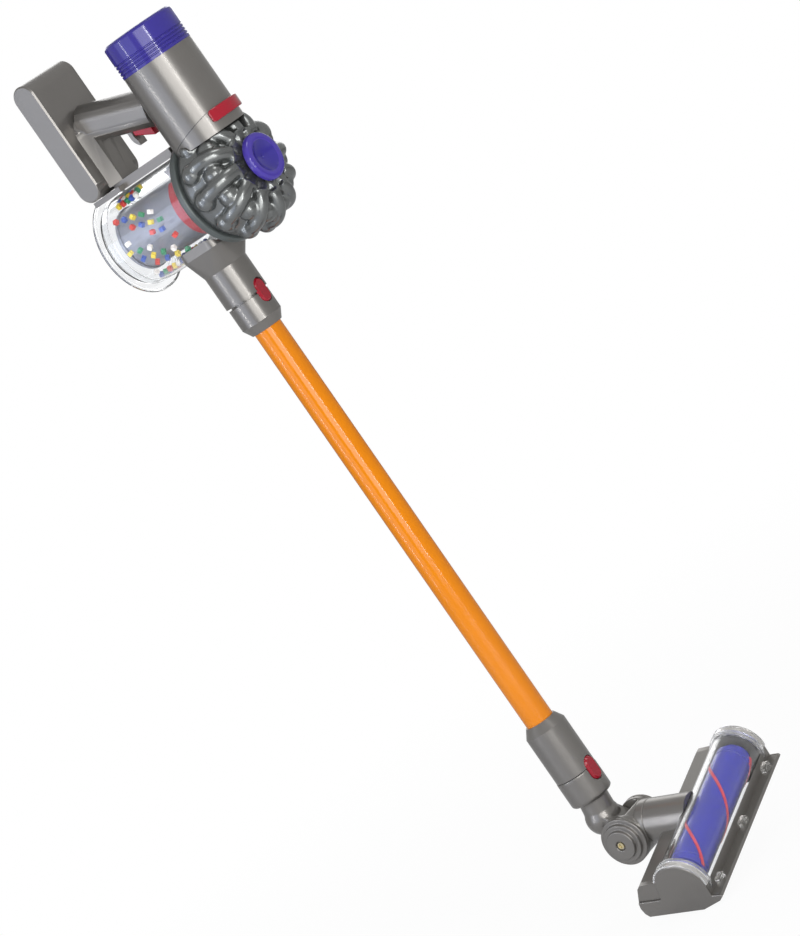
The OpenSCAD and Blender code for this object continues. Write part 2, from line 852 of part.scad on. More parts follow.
module elbow() {
  bulge_z = socket_low - bulge_drop;
  chamfer = 1.5;
  color(grey) difference() {
    union() {
      translate([0, 0, socket_low + chamfer]) cylinder(d = cuff_d + 0.6, h = socket_h - chamfer);
      translate([0, 0, socket_low]) cylinder(d1 = cuff_d - 2.4, d2 = cuff_d + 0.6, h = chamfer);
      translate([0, 0, socket_top - 1]) cylinder(d = spigot_d, h = spigot_len + 1);
      lean_to([0, 0, socket_low + 1], [bulge_x, 0, bulge_z], arm_r, bulge_r - 1.2);
      translate([bulge_x, 0, bulge_z]) rotate([0, 90 - tongue_dip([bulge_x, bulge_z]), 0]) sphere(r = bulge_r);
      translate([hinge_x, 0, hinge_z]) ycyl(tongue_r, tongue_w);
      tongue([bulge_x, bulge_z]);
    }
    for (side = [-1, 1]) translate([hinge_x, side * (cheek_in + cheek_t), hinge_z])
      ycyl(barrel_hinge_r + cheek_gap, 2 * (cheek_t + slip));
    translate([0, 0, socket_low - 2]) cylinder(d = air_d, h = socket_h + spigot_len + 3);
    button_room(lower_button_z);
    button_flat(lower_button_z, 1);
    translate([hinge_x, 0, hinge_z]) ycyl(axle_r + fit, 4 * cheek_in);
  }
}

// Angle of the tongue from a point in X and Z down to the hinge
function tongue_dip(from) = atan2(hinge_z - from[1], hinge_x - from[0]);

// Flat bar between the bulge and the hinge
module tongue(from) {
  len = norm([hinge_x - from[0], hinge_z - from[1]]);
  w = tongue_w - slip;
  past = tongue_r / 4;
  translate([hinge_x, 0, hinge_z]) rotate([0, -tongue_dip(from), 0])
    translate([-len, -w / 2, -tongue_t / 2]) cube([len + past, w, tongue_t]);
}

module hinge_axle() {
  color(steel) translate([hinge_x, 0, hinge_z]) difference() {
    ycyl(axle_r, 2 * cheek_out);
    ycyl(screw_d / 2 + seat, 4 * cheek_in);
  }
}

// Stepped disc over one end of the hinge
module hinge_cap(side) {
  steps = [hinge_cap_r, hinge_cap_r - 3.2, hinge_cap_r - 6.6];
  edge = 1;
  color(grey) translate([hinge_x, side * cheek_out, hinge_z]) rotate([-90 * side, 0, 0]) difference() {
    for (i = [0:2]) translate([0, 0, i * cap_step]) {
      cylinder(r = steps[i], h = cap_step - edge);
      translate([0, 0, cap_step - edge]) cylinder(r1 = steps[i], r2 = steps[i] - edge, h = edge);
    }
    translate([0, 0, -eps]) cylinder(d = screw_d + 2 * seat, h = 4 * cap_step);
    translate([0, 0, 3 * cap_step - cap_recess]) cylinder(d = screw_head_d + 2, h = cap_step);
  }
}

cap_recess = 2;

module hinge_cap_near() {
  hinge_cap(-1);
}

module hinge_cap_far() {
  hinge_cap(1);
}

module hinge_screws() {
  shank = 13;
  head_y = cheek_out + 3 * cap_step - cap_recess;
  color(steel) translate([hinge_x, 0, hinge_z]) for (side = [-1, 1]) translate([0, side * head_y, 0])
    rotate([-90 * side, 0, 0]) {
      translate([0, 0, -shank]) cylinder(d = screw_d, h = shank);
      difference() {
        cylinder(d = screw_head_d, h = 1.5);
        translate([0, 0, 0.7]) cross(3, 0.8, 2);
      }
    }
}

// Fork that holds the tongue, with the stub that the head's neck turns on
module swivel_housing() {
  throat_r = 6.5;
  sink = 0.3;
  color(grey) at_hinge() difference() {
    union() {
      for (side = [-1, 1]) translate([0, side * (cheek_in + cheek_t / 2), 0]) ycyl(barrel_hinge_r, cheek_t);
      rotate([90, 0, 0]) rotate([0, 0, web_from]) rotate_extrude(angle = web_to - web_from)
        translate([web_in - 1, -cheek_in - sink]) square([barrel_hinge_r - sink - web_in + 1, 2 * (cheek_in + sink)]);
      translate([0, 0, neck_rise]) xcyl(neck_r, web_in + 1, swivel_seam);
      translate([0, 0, neck_rise]) xcyl(stub_r, web_in + 2, stub_end);
    }
    ycyl(axle_r + seat, 4 * cheek_in);
    ycyl(web_in, 2 * cheek_in);
    translate([0, 0, neck_rise]) xcyl(throat_r, tongue_r - 2, stub_end + 1);
  }
}

// Outline of the head seen from its end: ledge, hump and front lip
module head_side() {
  back = head_back;
  front = head_front;
  translate([roller_x, roller_z]) circle(r = cover_r);
  polygon([[back + 3, sole_z], [front - toe_len, sole_z], [front - 4, sole_z + 5.6],
    [front, sole_z + front_lip_h - 1.4], [front - 1.2, sole_z + front_lip_h],
    [roller_x + cover_r - 0.2, sole_z + front_lip_h], [roller_x + cover_r, roller_z], [roller_x, roller_z],
    [roller_x - cover_r + 1, sole_z + ledge_h], [back + 9, sole_z + ledge_h - 1], [back + 6, sole_z + ledge_h - 3.6],
    [back + 1, sole_z + ledge_step], [back, sole_z + 8], [back + 0.8, sole_z + 3]]);
}

// Extrudes a side outline along Y between two places
module along_y(y0, y1) {
  translate([0, y1, 0]) rotate([90, 0, 0]) linear_extrude(y1 - y0) children();
}

module head_base() {
  tray_t = 2.4;
  well_r = roller_d / 2 + 1.8;
  slot_half = 9;
  color(grey) at_head() difference() {
    union() {
      along_y(-inner_len / 2, inner_len / 2) difference() {
        head_side();
        translate([roller_x, roller_z]) circle(r = cover_r + 0.2);
        translate([roller_x - cover_r * 0.5, roller_z]) square([head_deep, head_deep]);
      }
      along_y(-inner_len / 2, inner_len / 2) intersection() {
        difference() {
          translate([roller_x, roller_z]) circle(r = cover_r + 1);
          translate([roller_x, roller_z]) circle(r = well_r);
        }
        translate([roller_x - head_deep, sole_z]) square([2 * head_deep, front_lip_h - 1]);
      }
      difference() {
        xcyl(neck_r, swivel_seam + slip, roller_x - cover_r + 8);
        along_y(-head_len, head_len) translate([roller_x, roller_z]) circle(r = cover_r + 0.2);
      }
    }
    xcyl(stub_r + fit, swivel_seam - 1, stub_end + 0.5);
    along_y(-head_len, head_len) translate([roller_x, roller_z]) circle(r = well_r);
    for (side = [0, 1]) mirror([0, side, 0]) along_y(inner_len / 2 - cover_rim_w - slip, inner_len / 2 + 1)
      translate([roller_x, roller_z]) circle(r = cover_r + cover_rim + slip);
    along_y(-inner_len / 2 - 1, inner_len / 2 + 1)
      translate([head_back - 1, sole_z - 1]) square([head_deep + 2, sole_t + 1]);
    along_y(-roller_len / 2, roller_len / 2)
      translate([roller_x - slot_half, sole_z - 1]) square([2 * slot_half, roller_h]);
    sole_screw_places() cylinder(d = screw_d + 2 * seat, h = 12);
  }
}

// One end plate with the hole for the roller axle
module end_plate(side) {
  inner = side > 0 ? inner_len / 2 : -head_len / 2;
  color(grey) at_head() difference() {
    along_y(inner, inner + plate_t) head_side();
    translate([roller_x, 0, roller_z]) ycyl(roller_axle_r + seat, head_len - 2);
  }
}

module end_plate_near() {
  end_plate(-1);
}

module end_plate_far() {
  end_plate(1);
}

// Clear half-round cover from the front lip over to the ledge, with a thick rim at each end
module head_cover() {
  from = -36;
  to = 161;
  len = inner_len - 2 * seat;
  color(clear, 0.4) at_head() translate([roller_x, len / 2, roller_z]) rotate([90, 0, 0])
    rotate([0, 0, from]) rotate_extrude(angle = to - from) {
      translate([cover_r - cover_t, 0]) square([cover_t, len]);
      for (y = [0, len - cover_rim_w]) translate([cover_r - cover_t, y]) square([cover_t + cover_rim, cover_rim_w]);
    }
}

module cover_clips() {
  clip_w = 7;
  clip_deep = 4;
  clip_h = 4;
  end_y = inner_len / 2 - cover_rim_w - clip_w;
  color(clear, 0.5) at_head() for (y = [-end_y, 0, end_y])
    difference() {
      translate([roller_x + cover_r + 0.1, y - clip_w / 2, sole_z + front_lip_h]) cube([clip_deep, clip_w, clip_h]);
      along_y(-head_len, head_len) translate([roller_x, roller_z]) circle(r = cover_r + seat);
    }
}

module roller() {
  hub_r = roller_d / 2 - 3;
  collar = 4;
  color("#3438a5") at_head() translate([roller_x, 0, roller_z]) difference() {
    union() {
      ycyl(roller_d / 2, roller_len - 2 * collar);
      ycyl(hub_r, roller_len);
    }
    ycyl(roller_axle_r + fit, roller_len + 1);
    strips(0.1);
  }
}

// Two helical strips let into the roller
module strips(grow) {
  len = roller_len - 10;
  for (start = [0, 180]) rotate([90, 0, 0]) translate([0, 0, -len / 2])
    linear_extrude(len, twist = strip_turn, slices = 48) rotate(start)
      translate([roller_d / 2 - strip_d / 2 + strip_proud, 0])
        square([strip_d + grow, strip_d + grow], center = true);
}

module roller_strips() {
  color(red) at_head() translate([roller_x, 0, roller_z]) strips(0);
}

module roller_axle() {
  color(steel) at_head() translate([roller_x, 0, roller_z]) ycyl(roller_axle_r, head_len - 3);
}

// Places its children at the screws of the sole plate
module sole_screw_places() {
  inset = 9;
  for (y = [-inner_len / 2 + inset, inner_len / 2 - inset])
    translate([head_back + inset, y, sole_z]) children();
}

module sole_plate() {
  slot_w = 16;
  edge = 4;
  rear = 4;
  color(dark) at_head() difference() {
    translate([head_back + rear, -inner_len / 2 + seat, sole_z])
      cube([head_deep - rear - toe_len, inner_len - 2 * seat, sole_t]);
    translate([roller_x - slot_w / 2, -roller_len / 2 + edge, sole_z - 1])
      cube([slot_w, roller_len - 2 * edge, sole_t + 2]);
    sole_screw_places() cylinder(d = screw_head_d + 2 * slip, h = 1.4);
    sole_screw_places() cylinder(d = screw_d + 2 * seat, h = 4);
  }
}

module sole_screws() {
  head_t = 1.4;
  head_z = 0.2;
  color(steel) at_head() sole_screw_places() difference() {
    union() {
      translate([0, 0, head_z]) cylinder(d = screw_head_d, h = head_t - head_z);
      translate([0, 0, head_z]) cylinder(d = screw_d, h = 9);
    }
    translate([0, 0, head_z - 0.4]) cross(3, 0.8, 1);
  }
}

// Trigger blade with a sloping face, fuller toward the barrel
module trigger() {
  drop = tan(rake);
  low = -grip_half / cos(rake);
  z_low = low - trigger_low_x * drop - trigger_stand_low;
  z_high = low - trigger_high_x * drop - trigger_stand_high;
  color(red) rotate([90, 0, 0]) translate([0, 0, -trigger_w / 2]) linear_extrude(trigger_w) polygon([
    [trigger_low_x, trigger_top_z], [trigger_high_x, trigger_top_z], [trigger_high_x, z_high + 1],
    [trigger_high_x - 1.4, z_high], [trigger_low_x + 1.4, z_low], [trigger_low_x, z_low + 1]]);
}

module trigger_switch() {
  button_h = 0.6;
  color("#22252a") translate([switch_x() - switch_len() / 2, -trigger_w / 2, switch_z()])
    cube([switch_len(), trigger_w, switch_h]);
  color("#22252a") translate([switch_x(), 0, switch_z() - slip / 2]) cylinder(d = 2, h = button_h);
}

// Spring drawn at its pressed length, seated in the roof of the trigger slot
module trigger_spring() {
  roof = trigger_top_z + trigger_travel + slip;
  color(steel) translate([spring_x(), 0, roof - slip]) tube(spring_d, spring_d - 1.2, slip);
}

module motor() {
  bell_h = 2;
  color(steel) on_barrel(motor_z) difference() {
    union() {
      cylinder(d = motor_d, h = motor_h);
      translate([0, 0, -bell_h]) cylinder(d = 8, h = bell_h);
    }
    translate([0, 0, -bell_h - eps]) cylinder(d = shaft_d + 2 * fit, h = motor_h);
  }
}

module motor_shaft() {
  color(steel) on_barrel(fan_z) cylinder(d = shaft_d, h = fan_h + 15);
}

module fan() {
  blade_n = 8;
  blade_t = 1.2;
  hub_r = 5;
  disc_t = 1.4;
  color("#e8e4da") on_barrel(fan_z) difference() {
    union() {
      cylinder(r = hub_r, h = fan_h);
      translate([0, 0, fan_h - disc_t]) cylinder(d = fan_d, h = disc_t);
      for (i = [0:blade_n - 1]) rotate([0, 0, i * 360 / blade_n])
        translate([hub_r - 1, -blade_t / 2, 0]) cube([fan_d / 2 - hub_r, blade_t, fan_h - disc_t + 0.2]);
    }
    translate([0, 0, -eps]) cylinder(d = shaft_d + 2 * seat, h = fan_h + 1);
  }
}

// Places its children at each cell, standing on the lower contact
module at_cells() {
  for (i = [0:cell_n - 1])
    translate([-pack_mid, (i - (cell_n - 1) / 2) * cell_pitch, pack_rise - cell_len / 2]) children();
}

module battery_cells() {
  nub = 1;
  color("#2f7f4a") at_cells() {
    cylinder(d = cell_d, h = cell_len - nub);
    cylinder(d = 5.5, h = cell_len);
  }
}

module battery_contacts() {
  color(steel) at_cells() {
    for (z = [-contact_t - contact_spring, cell_len + contact_spring])
      translate([-contact_w / 2, -contact_w / 2, z]) cube([contact_w, contact_w, contact_t]);
    translate([0, 0, -contact_spring]) cylinder(d1 = coil_d, d2 = coil_tip_d, h = contact_spring);
    translate([0, 0, cell_len]) cylinder(d1 = coil_tip_d, d2 = coil_d, h = contact_spring);
  }
}

door_screw_z = pack_rise + door_len / 2 - 3.2;
module door_screw_room() {
  translate([-pack_low, 0, door_screw_z]) xcyl(screw_d / 2 + seat, 0, 8);
}

module battery_door() {
  gap = slip;
  color(grey) difference() {
    translate([-pack_low, -door_w / 2 + gap, pack_rise - door_len / 2 + gap])
      cube([door_t, door_w - 2 * gap, door_len - 2 * gap]);
    translate([-pack_low - eps, 0, door_screw_z]) xcyl(screw_d / 2 + seat, 0, 8);
    translate([-pack_low - eps, 0, door_screw_z]) xcyl(screw_head_d / 2 + slip, 0, 0.9);
  }
}

module door_screw() {
  color(steel) translate([-pack_low, 0, door_screw_z]) difference() {
    union() {
      xcyl(screw_head_d / 2, 0, 0.9 - eps);
      xcyl(screw_d / 2, 0, 6);
    }
    translate([0.5, 0, 0]) rotate([0, -90, 0]) cross(3, 0.8, 2);
  }
}

body_near();
body_far();
filter_cap();
front_housing();
release_latch();
cyclone_cluster();
cyclone_boss();
skirt_ring();
bin_tube();
bin_lid();
bin_shroud();
shroud_ring();
shroud_fins();
beads_red();
beads_blue();
beads_yellow();
beads_green();
beads_white();
bin_rail();
inlet_neck();
neck_button();
trigger();
trigger_switch();
trigger_spring();
motor();
motor_shaft();
fan();
battery_cells();
battery_contacts();
battery_door();
door_screw();
body_screws();
wand_cuff();
wand_tube();
lower_cuff();
cuff_button();
elbow();
hinge_axle();
hinge_cap_near();
hinge_cap_far();
hinge_screws();
swivel_housing();
head_base();
end_plate_near();
end_plate_far();
head_cover();
cover_clips();
roller();
roller_strips();
roller_axle();
sole_plate();
sole_screws();
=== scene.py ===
"""Looks of a toy stick vacuum cleaner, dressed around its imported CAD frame."""

import logging
import math
from dataclasses import dataclass
from enum import Enum
from typing import Any, Sequence

import bmesh
import bpy
from mathutils import Matrix, Vector


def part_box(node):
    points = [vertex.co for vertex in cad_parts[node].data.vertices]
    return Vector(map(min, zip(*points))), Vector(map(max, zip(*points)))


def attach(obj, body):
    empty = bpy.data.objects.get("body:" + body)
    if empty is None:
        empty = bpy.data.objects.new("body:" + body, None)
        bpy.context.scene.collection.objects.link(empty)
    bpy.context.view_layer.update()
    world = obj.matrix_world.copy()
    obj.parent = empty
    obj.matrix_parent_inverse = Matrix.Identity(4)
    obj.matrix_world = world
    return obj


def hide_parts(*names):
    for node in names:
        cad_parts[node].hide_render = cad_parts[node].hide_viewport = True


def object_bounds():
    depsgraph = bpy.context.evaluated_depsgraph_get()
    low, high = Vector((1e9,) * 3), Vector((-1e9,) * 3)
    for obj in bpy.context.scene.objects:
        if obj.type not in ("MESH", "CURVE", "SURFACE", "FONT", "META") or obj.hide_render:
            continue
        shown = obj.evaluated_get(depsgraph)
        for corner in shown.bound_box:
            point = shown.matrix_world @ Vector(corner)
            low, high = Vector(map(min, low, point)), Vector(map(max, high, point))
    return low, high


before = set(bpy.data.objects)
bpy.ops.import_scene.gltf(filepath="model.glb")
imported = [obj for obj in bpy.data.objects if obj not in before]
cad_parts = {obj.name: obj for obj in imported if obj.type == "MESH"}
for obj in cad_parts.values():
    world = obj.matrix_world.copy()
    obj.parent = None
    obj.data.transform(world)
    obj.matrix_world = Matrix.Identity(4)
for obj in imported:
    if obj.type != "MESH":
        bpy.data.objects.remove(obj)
cad_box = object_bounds()

log = logging.getLogger("toy_vacuum")
MM = 0.001


def linear(code: str) -> tuple[float, float, float, float]:
    """Turns an sRGB hex colour into linear light.

    Args:
        code: colour as "#rrggbb".

    Returns:
        Linear red, green, blue and an alpha of 1.
    """
    parts = [int(code[i:i + 2], 16) / 255 for i in (1, 3, 5)]
    red, green, blue = (p / 12.92 if p <= 0.04045 else ((p + 0.055) / 1.055) ** 2.4 for p in parts)
    return red, green, blue, 1.0


def add(tree: bpy.types.NodeTree, kind: str, sockets: dict[Any, Any] | None = None,
        **settings: Any) -> bpy.types.Node:
    """Adds one node with its settings and links.

    Args:
        tree: node tree that takes the node.
        kind: Blender's type name of the node.
        sockets: input name or index with a value, or with an output to link from.
        settings: attributes of the node itself.

    Returns:
        The new node.
    """
    node = tree.nodes.new(kind)
    for key, value in settings.items():
        setattr(node, key, value)
    for key, value in (sockets or {}).items():
        if isinstance(value, bpy.types.NodeSocket):
            tree.links.new(value, node.inputs[key])
        else:
            node.inputs[key].default_value = value
    return node


def empty_material(name: str) -> bpy.types.Material:
    """Makes a material with an empty node tree."""
    material = bpy.data.materials.new(name)
    material.use_nodes = True
    material.node_tree.nodes.clear()
    return material


def cycles_per_metre(size_mm: float) -> float:
    """Scale of a noise whose grains are this many millimetres across."""
    return 1 / (size_mm * MM)


@dataclass(frozen=True)
class MouldedPlastic:
    """Injection-moulded ABS, plain or with aluminium flake in the melt."""

    name: str
    hue: str
    shade: str
    roughness: float = 0.3
    metallic: float = 0.0
    ior: float = 1.53
    coat: float = 0.0
    flow_mm: float = 30.0  # length of a flow streak
    grain_mm: float = 9.0  # patches of polish, drawn coarser than the real haze so that they show
    grain: float = 0.015  # spread of the roughness over the patches
    tooth: float = 0.0  # strength of a grained mould's bump

    def make(self) -> bpy.types.Material:
        """Builds the material.

        Returns:
            A material whose colour drifts with the melt flow and whose gloss varies with the polish of the mould.
        """
        material = empty_material(self.name)
        tree = material.node_tree
        place = add(tree, "ShaderNodeTexCoord").outputs["Object"]
        flow = add(tree, "ShaderNodeTexNoise",
                   {"Vector": place, "Scale": cycles_per_metre(self.flow_mm), "Detail": 3.0, "Roughness": 0.5})
        grain = add(tree, "ShaderNodeTexNoise",
                    {"Vector": place, "Scale": cycles_per_metre(self.grain_mm), "Detail": 2.0})
        colour = add(tree, "ShaderNodeMix", {0: flow.outputs["Fac"], 6: linear(self.hue), 7: linear(self.shade)},
                     data_type="RGBA")
        gloss = add(tree, "ShaderNodeMapRange",
                    {"Value": grain.outputs["Fac"], "From Min": 0.3, "From Max": 0.7,
                     "To Min": self.roughness - self.grain, "To Max": self.roughness + self.grain})
        shader = add(tree, "ShaderNodeBsdfPrincipled",
                     {"Base Color": colour.outputs[2], "Roughness": gloss.outputs["Result"],
                      "Metallic": self.metallic, "IOR": self.ior, "Coat Weight": self.coat, "Coat Roughness": 0.06})
        if self.tooth:
            bump = add(tree, "ShaderNodeBump", {"Height": grain.outputs["Fac"], "Strength": self.tooth,
                                                "Distance": 0.1 * MM})
            tree.links.new(bump.outputs["Normal"], shader.inputs["Normal"])
        add(tree, "ShaderNodeOutputMaterial", {"Surface": shader.outputs["BSDF"]})
        return material


@dataclass(frozen=True)
class ClearPlastic:
    """Clear moulded polystyrene, polished in the tool, that lets the lamps through to what is inside."""

    name: str
    tint: str
    roughness: float = 0.02
    ior: float = 1.5
    clarity: float = 1.0

    def make(self) -> bpy.types.Material:
        """Builds the material.

        Returns:
            A glass-like material with faint flow waves and open shadows.
        """
        material = empty_material(self.name)
        tree = material.node_tree
        place = add(tree, "ShaderNodeTexCoord").outputs["Object"]
        wave = add(tree, "ShaderNodeTexNoise", {"Vector": place, "Scale": cycles_per_metre(14.0), "Detail": 1.0})
        bump = add(tree, "ShaderNodeBump", {"Height": wave.outputs["Fac"], "Strength": 0.02, "Distance": 0.1 * MM})
        glass = add(tree, "ShaderNodeBsdfPrincipled",
                    {"Base Color": linear(self.tint), "Roughness": self.roughness, "IOR": self.ior,
                     "Transmission Weight": self.clarity, "Normal": bump.outputs["Normal"]})
        open_path = add(tree, "ShaderNodeBsdfTransparent", {"Color": linear(self.tint)})
        path = add(tree, "ShaderNodeLightPath")
        mixed = add(tree, "ShaderNodeMixShader", {"Fac": path.outputs["Is Shadow Ray"], 1: glass.outputs["BSDF"],
                                                  2: open_path.outputs["BSDF"]})
        add(tree, "ShaderNodeOutputMaterial", {"Surface": mixed.outputs["Shader"]})
        return material


@dataclass(frozen=True)
class Metal:
    """Plated or turned steel with a fine tool grain."""

    name: str
    hue: str
    roughness: float = 0.28
    spread: float = 0.08
    grain_mm: float = 0.4  # tool marks of about 0.05 mm, drawn coarser so that they show

    def make(self) -> bpy.types.Material:
        """Builds the material.

        Returns:
            A metal whose gloss breaks up in a fine grain.
        """
        material = empty_material(self.name)
        tree = material.node_tree
        place = add(tree, "ShaderNodeTexCoord").outputs["Object"]
        grain = add(tree, "ShaderNodeTexNoise",
                    {"Vector": place, "Scale": cycles_per_metre(self.grain_mm), "Detail": 2.0})
        gloss = add(tree, "ShaderNodeMapRange",
                    {"Value": grain.outputs["Fac"], "To Min": self.roughness - self.spread,
                     "To Max": self.roughness + self.spread})
        shader = add(tree, "ShaderNodeBsdfPrincipled",
                     {"Base Color": linear(self.hue), "Metallic": 1.0, "Roughness": gloss.outputs["Result"]})
        add(tree, "ShaderNodeOutputMaterial", {"Surface": shader.outputs["BSDF"]})
        return material


class Finish(Enum):
    """Every finish on the toy."""

    # aluminium flake in the melt: silky broad bands under a clear skin
    SILVER_GREY = MouldedPlastic("flake_abs_silver_grey", "#84817d", "#7c7975", 0.29, 0.6, coat=0.08)
    # more flake and less pigment: the soft gleam of a casting
    GUNMETAL = MouldedPlastic("flake_abs_gunmetal", "#7f8180", "#747675", 0.25, 0.8)
    # little flake: a dark ring that hardly shines
    SKIRT = MouldedPlastic("flake_abs_dark", "#5e6463", "#565c5b", 0.32, 0.3)
    # polished mould, full pigment: crisp streaks on deep colour
    PURPLE = MouldedPlastic("gloss_abs_purple", "#382f92", "#322a86", 0.13)
    # grained mould at the top of the cap: a dull bloom in place of a mirror (grain of 0.1 mm, drawn coarser)
    PURPLE_GRAINED = MouldedPlastic("grained_abs_purple", "#382f92", "#322a86", 0.45, grain_mm=1.0, tooth=0.05)
    # the same plastic drawn in a lighter violet: a painted highlight that sets the rim off from its darker dish
    VIOLET = MouldedPlastic("gloss_abs_violet_painted_sheen", "#4a3aa8", "#43349c", 0.12)
    # full red pigment and a polished mould: small hard glints on what the hand works
    RED = MouldedPlastic("gloss_abs_red", "#a81029", "#9b0d23", 0.1)
    # drawn through a die: one long soft highlight
    ORANGE = MouldedPlastic("extruded_pp_orange", "#ec8a00", "#e68400", 0.13, ior=1.49)
    # satin mould: a dark blue body with broad soft bands
    ROLLER = MouldedPlastic("moulded_abs_blue_violet", "#0d1386", "#0b107a", 0.16)
    # bonded strip: dull red against the gloss of the roller
    STRIP = MouldedPlastic("nylon_strip_red", "#b3182f", "#a01327", 0.4)
    # pale flake seen through the bin: cool grey with a faint band
    SHROUD = MouldedPlastic("flake_abs_pale", "#888b98", "#80838f", 0.3, 0.4)
    # unpigmented plastic: milky fins
    PALE = MouldedPlastic("natural_abs_pale", "#cdd1d8", "#c5c9d0", 0.35)
    # spark-eroded mould: a dull skin with a fine tooth (grain of 0.1 mm, drawn coarser)
    BLACK = MouldedPlastic("matt_abs_black", "#24272b", "#1e2125", 0.5, grain_mm=1.0, tooth=0.05)
    # natural nylon: waxy and warm
    IVORY = MouldedPlastic("natural_nylon_ivory", "#e8e4da", "#dfdbd0", 0.45)
    # shrunk sleeve: an even, slightly glossy colour
    CELL = MouldedPlastic("printed_sleeve_green", "#2f7f4a", "#2a7242", 0.3)
    # cut foam: no shine, a slightly open surface (cells of 0.2 mm, drawn coarser)
    BEAD_RED = MouldedPlastic("eva_foam_red", "#d5372b", "#c43025", 0.6, grain_mm=0.8, tooth=0.1)
    BEAD_BLUE = MouldedPlastic("eva_foam_blue", "#2c55b0", "#264ba0", 0.6, grain_mm=0.8, tooth=0.1)
    BEAD_YELLOW = MouldedPlastic("eva_foam_yellow", "#e8cf3c", "#dcc130", 0.6, grain_mm=0.8, tooth=0.1)
    BEAD_GREEN = MouldedPlastic("eva_foam_green", "#1f8a5c", "#1a7c52", 0.6, grain_mm=0.8, tooth=0.1)
    BEAD_WHITE = MouldedPlastic("eva_foam_white", "#f0ece6", "#e6e1da", 0.6, grain_mm=0.8, tooth=0.1)
    # polished on both sides: nearly invisible but for its rims
    CLEAR = ClearPlastic("clear_polystyrene", "#fbfcfd")
    # thicker and less polished at the ends: a faintly milky edge
    CLEAR_RIM = ClearPlastic("clear_polystyrene_thick_edge", "#ffffff", 0.1, clarity=0.92)
    # thin bright plating over a drawn wire or a turned head
    STEEL = Metal("zinc_plated_steel", "#b9bcc0")
    # the same with a warm tinge
    BRASS = Metal("brass_plated_steel", "#d6c9a0")

    def material(self) -> bpy.types.Material:
        """Material of this finish, made once."""
        return bpy.data.materials.get(self.value.name) or self.value.make()


NODE_FINISHES: dict[Finish, tuple[str, ...]] = {
    Finish.SILVER_GREY: ("body_near", "body_far", "front_housing", "bin_rail", "inlet_neck", "battery_door",
                         "wand_cuff", "lower_cuff", "elbow", "hinge_cap_near", "hinge_cap_far",
                         "swivel_housing", "head_base", "end_plate_near", "end_plate_far"),
    Finish.GUNMETAL: ("cyclone_cluster",),
    Finish.SKIRT: ("skirt_ring", "sole_plate"),
    Finish.PURPLE: ("filter_cap",),
    Finish.VIOLET: ("cyclone_boss",),
    Finish.RED: ("release_latch", "neck_button", "cuff_button", "trigger", "shroud_ring"),
    Finish.ORANGE: ("wand_tube",),
    Finish.ROLLER: ("roller",),
    Finish.STRIP: ("roller_strips",),
    Finish.SHROUD: ("bin_shroud",),
    Finish.PALE: ("shroud_fins",),
    Finish.BLACK: ("trigger_switch",),
    Finish.IVORY: ("fan",),
    Finish.CELL: ("battery_cells",),
    Finish.BEAD_RED: ("beads_red",),
    Finish.BEAD_BLUE: ("beads_blue",),
    Finish.BEAD_YELLOW: ("beads_yellow",),
    Finish.BEAD_GREEN: ("beads_green",),
    Finish.BEAD_WHITE: ("beads_white",),
    Finish.CLEAR: ("bin_tube", "bin_lid", "head_cover", "cover_clips"),
    Finish.STEEL: ("motor", "motor_shaft", "trigger_spring", "battery_contacts", "door_screw", "body_screws",
                   "hinge_axle", "roller_axle", "sole_screws"),
    Finish.BRASS: ("hinge_screws",),
}


def dress_nodes() -> None:
    """Gives every CAD node the material of its finish."""
    for finish, names in NODE_FINISHES.items():
        for name in names:
            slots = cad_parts[name].data.materials
            slots.clear()
            slots.append(finish.material())


class Axis(Enum):
    """Axis of a turned piece, with the direction in which its radius is drawn."""

    X = (Vector((1, 0, 0)), Vector((0, 0, 1)))
    Y = (Vector((0, 1, 0)), Vector((0, 0, 1)))
    Z = (Vector((0, 0, 1)), Vector((1, 0, 0)))


def lathe(profile: Sequence[tuple[float, float]], axis: Axis, closed: bool = False, turn: float = 360.0,
          steps: int = 120) -> bmesh.types.BMesh:
    """Turns a profile around an axis through the origin.

    Args:
        profile: radius and place along the axis of each corner, in millimetres.
        axis: axis of the lathe.
        closed: True if the profile is a closed loop.
        turn: degrees that the profile sweeps.
        steps: facets of the sweep.

    Returns:
        A closed mesh.
    """
    along, out = axis.value
    bm = bmesh.new()
    verts = [bm.verts.new((out * radius + along * place) * MM) for radius, place in profile]
    chain = verts + verts[:1] if closed else verts
    edges = [bm.edges.new(pair) for pair in zip(chain, chain[1:])]
    bmesh.ops.spin(bm, geom=verts + edges, cent=(0, 0, 0), axis=along, angle=math.radians(turn), steps=steps,
                   use_merge=turn >= 360)
    bmesh.ops.remove_doubles(bm, verts=bm.verts, dist=0.002 * MM)
    bmesh.ops.holes_fill(bm, edges=[e for e in bm.edges if e.is_boundary], sides=0)
    bmesh.ops.recalc_face_normals(bm, faces=bm.faces)
    return bm


def extrude(outline: Sequence[tuple[float, float, float]], push: tuple[float, float, float]) -> bmesh.types.BMesh:
    """Pushes a flat outline into a slab.

    Args:
        outline: corners in millimetres.
        push: direction and length in millimetres.

    Returns:
        A closed mesh.
    """
    bm = bmesh.new()
    face = bm.faces.new([bm.verts.new(Vector(p) * MM) for p in outline])
    made = bmesh.ops.extrude_face_region(bm, geom=[face], use_keep_orig=True)
    top = [g for g in made["geom"] if isinstance(g, bmesh.types.BMVert)]
    bmesh.ops.translate(bm, verts=top, vec=Vector(push) * MM)
    bmesh.ops.recalc_face_normals(bm, faces=bm.faces)
    return bm


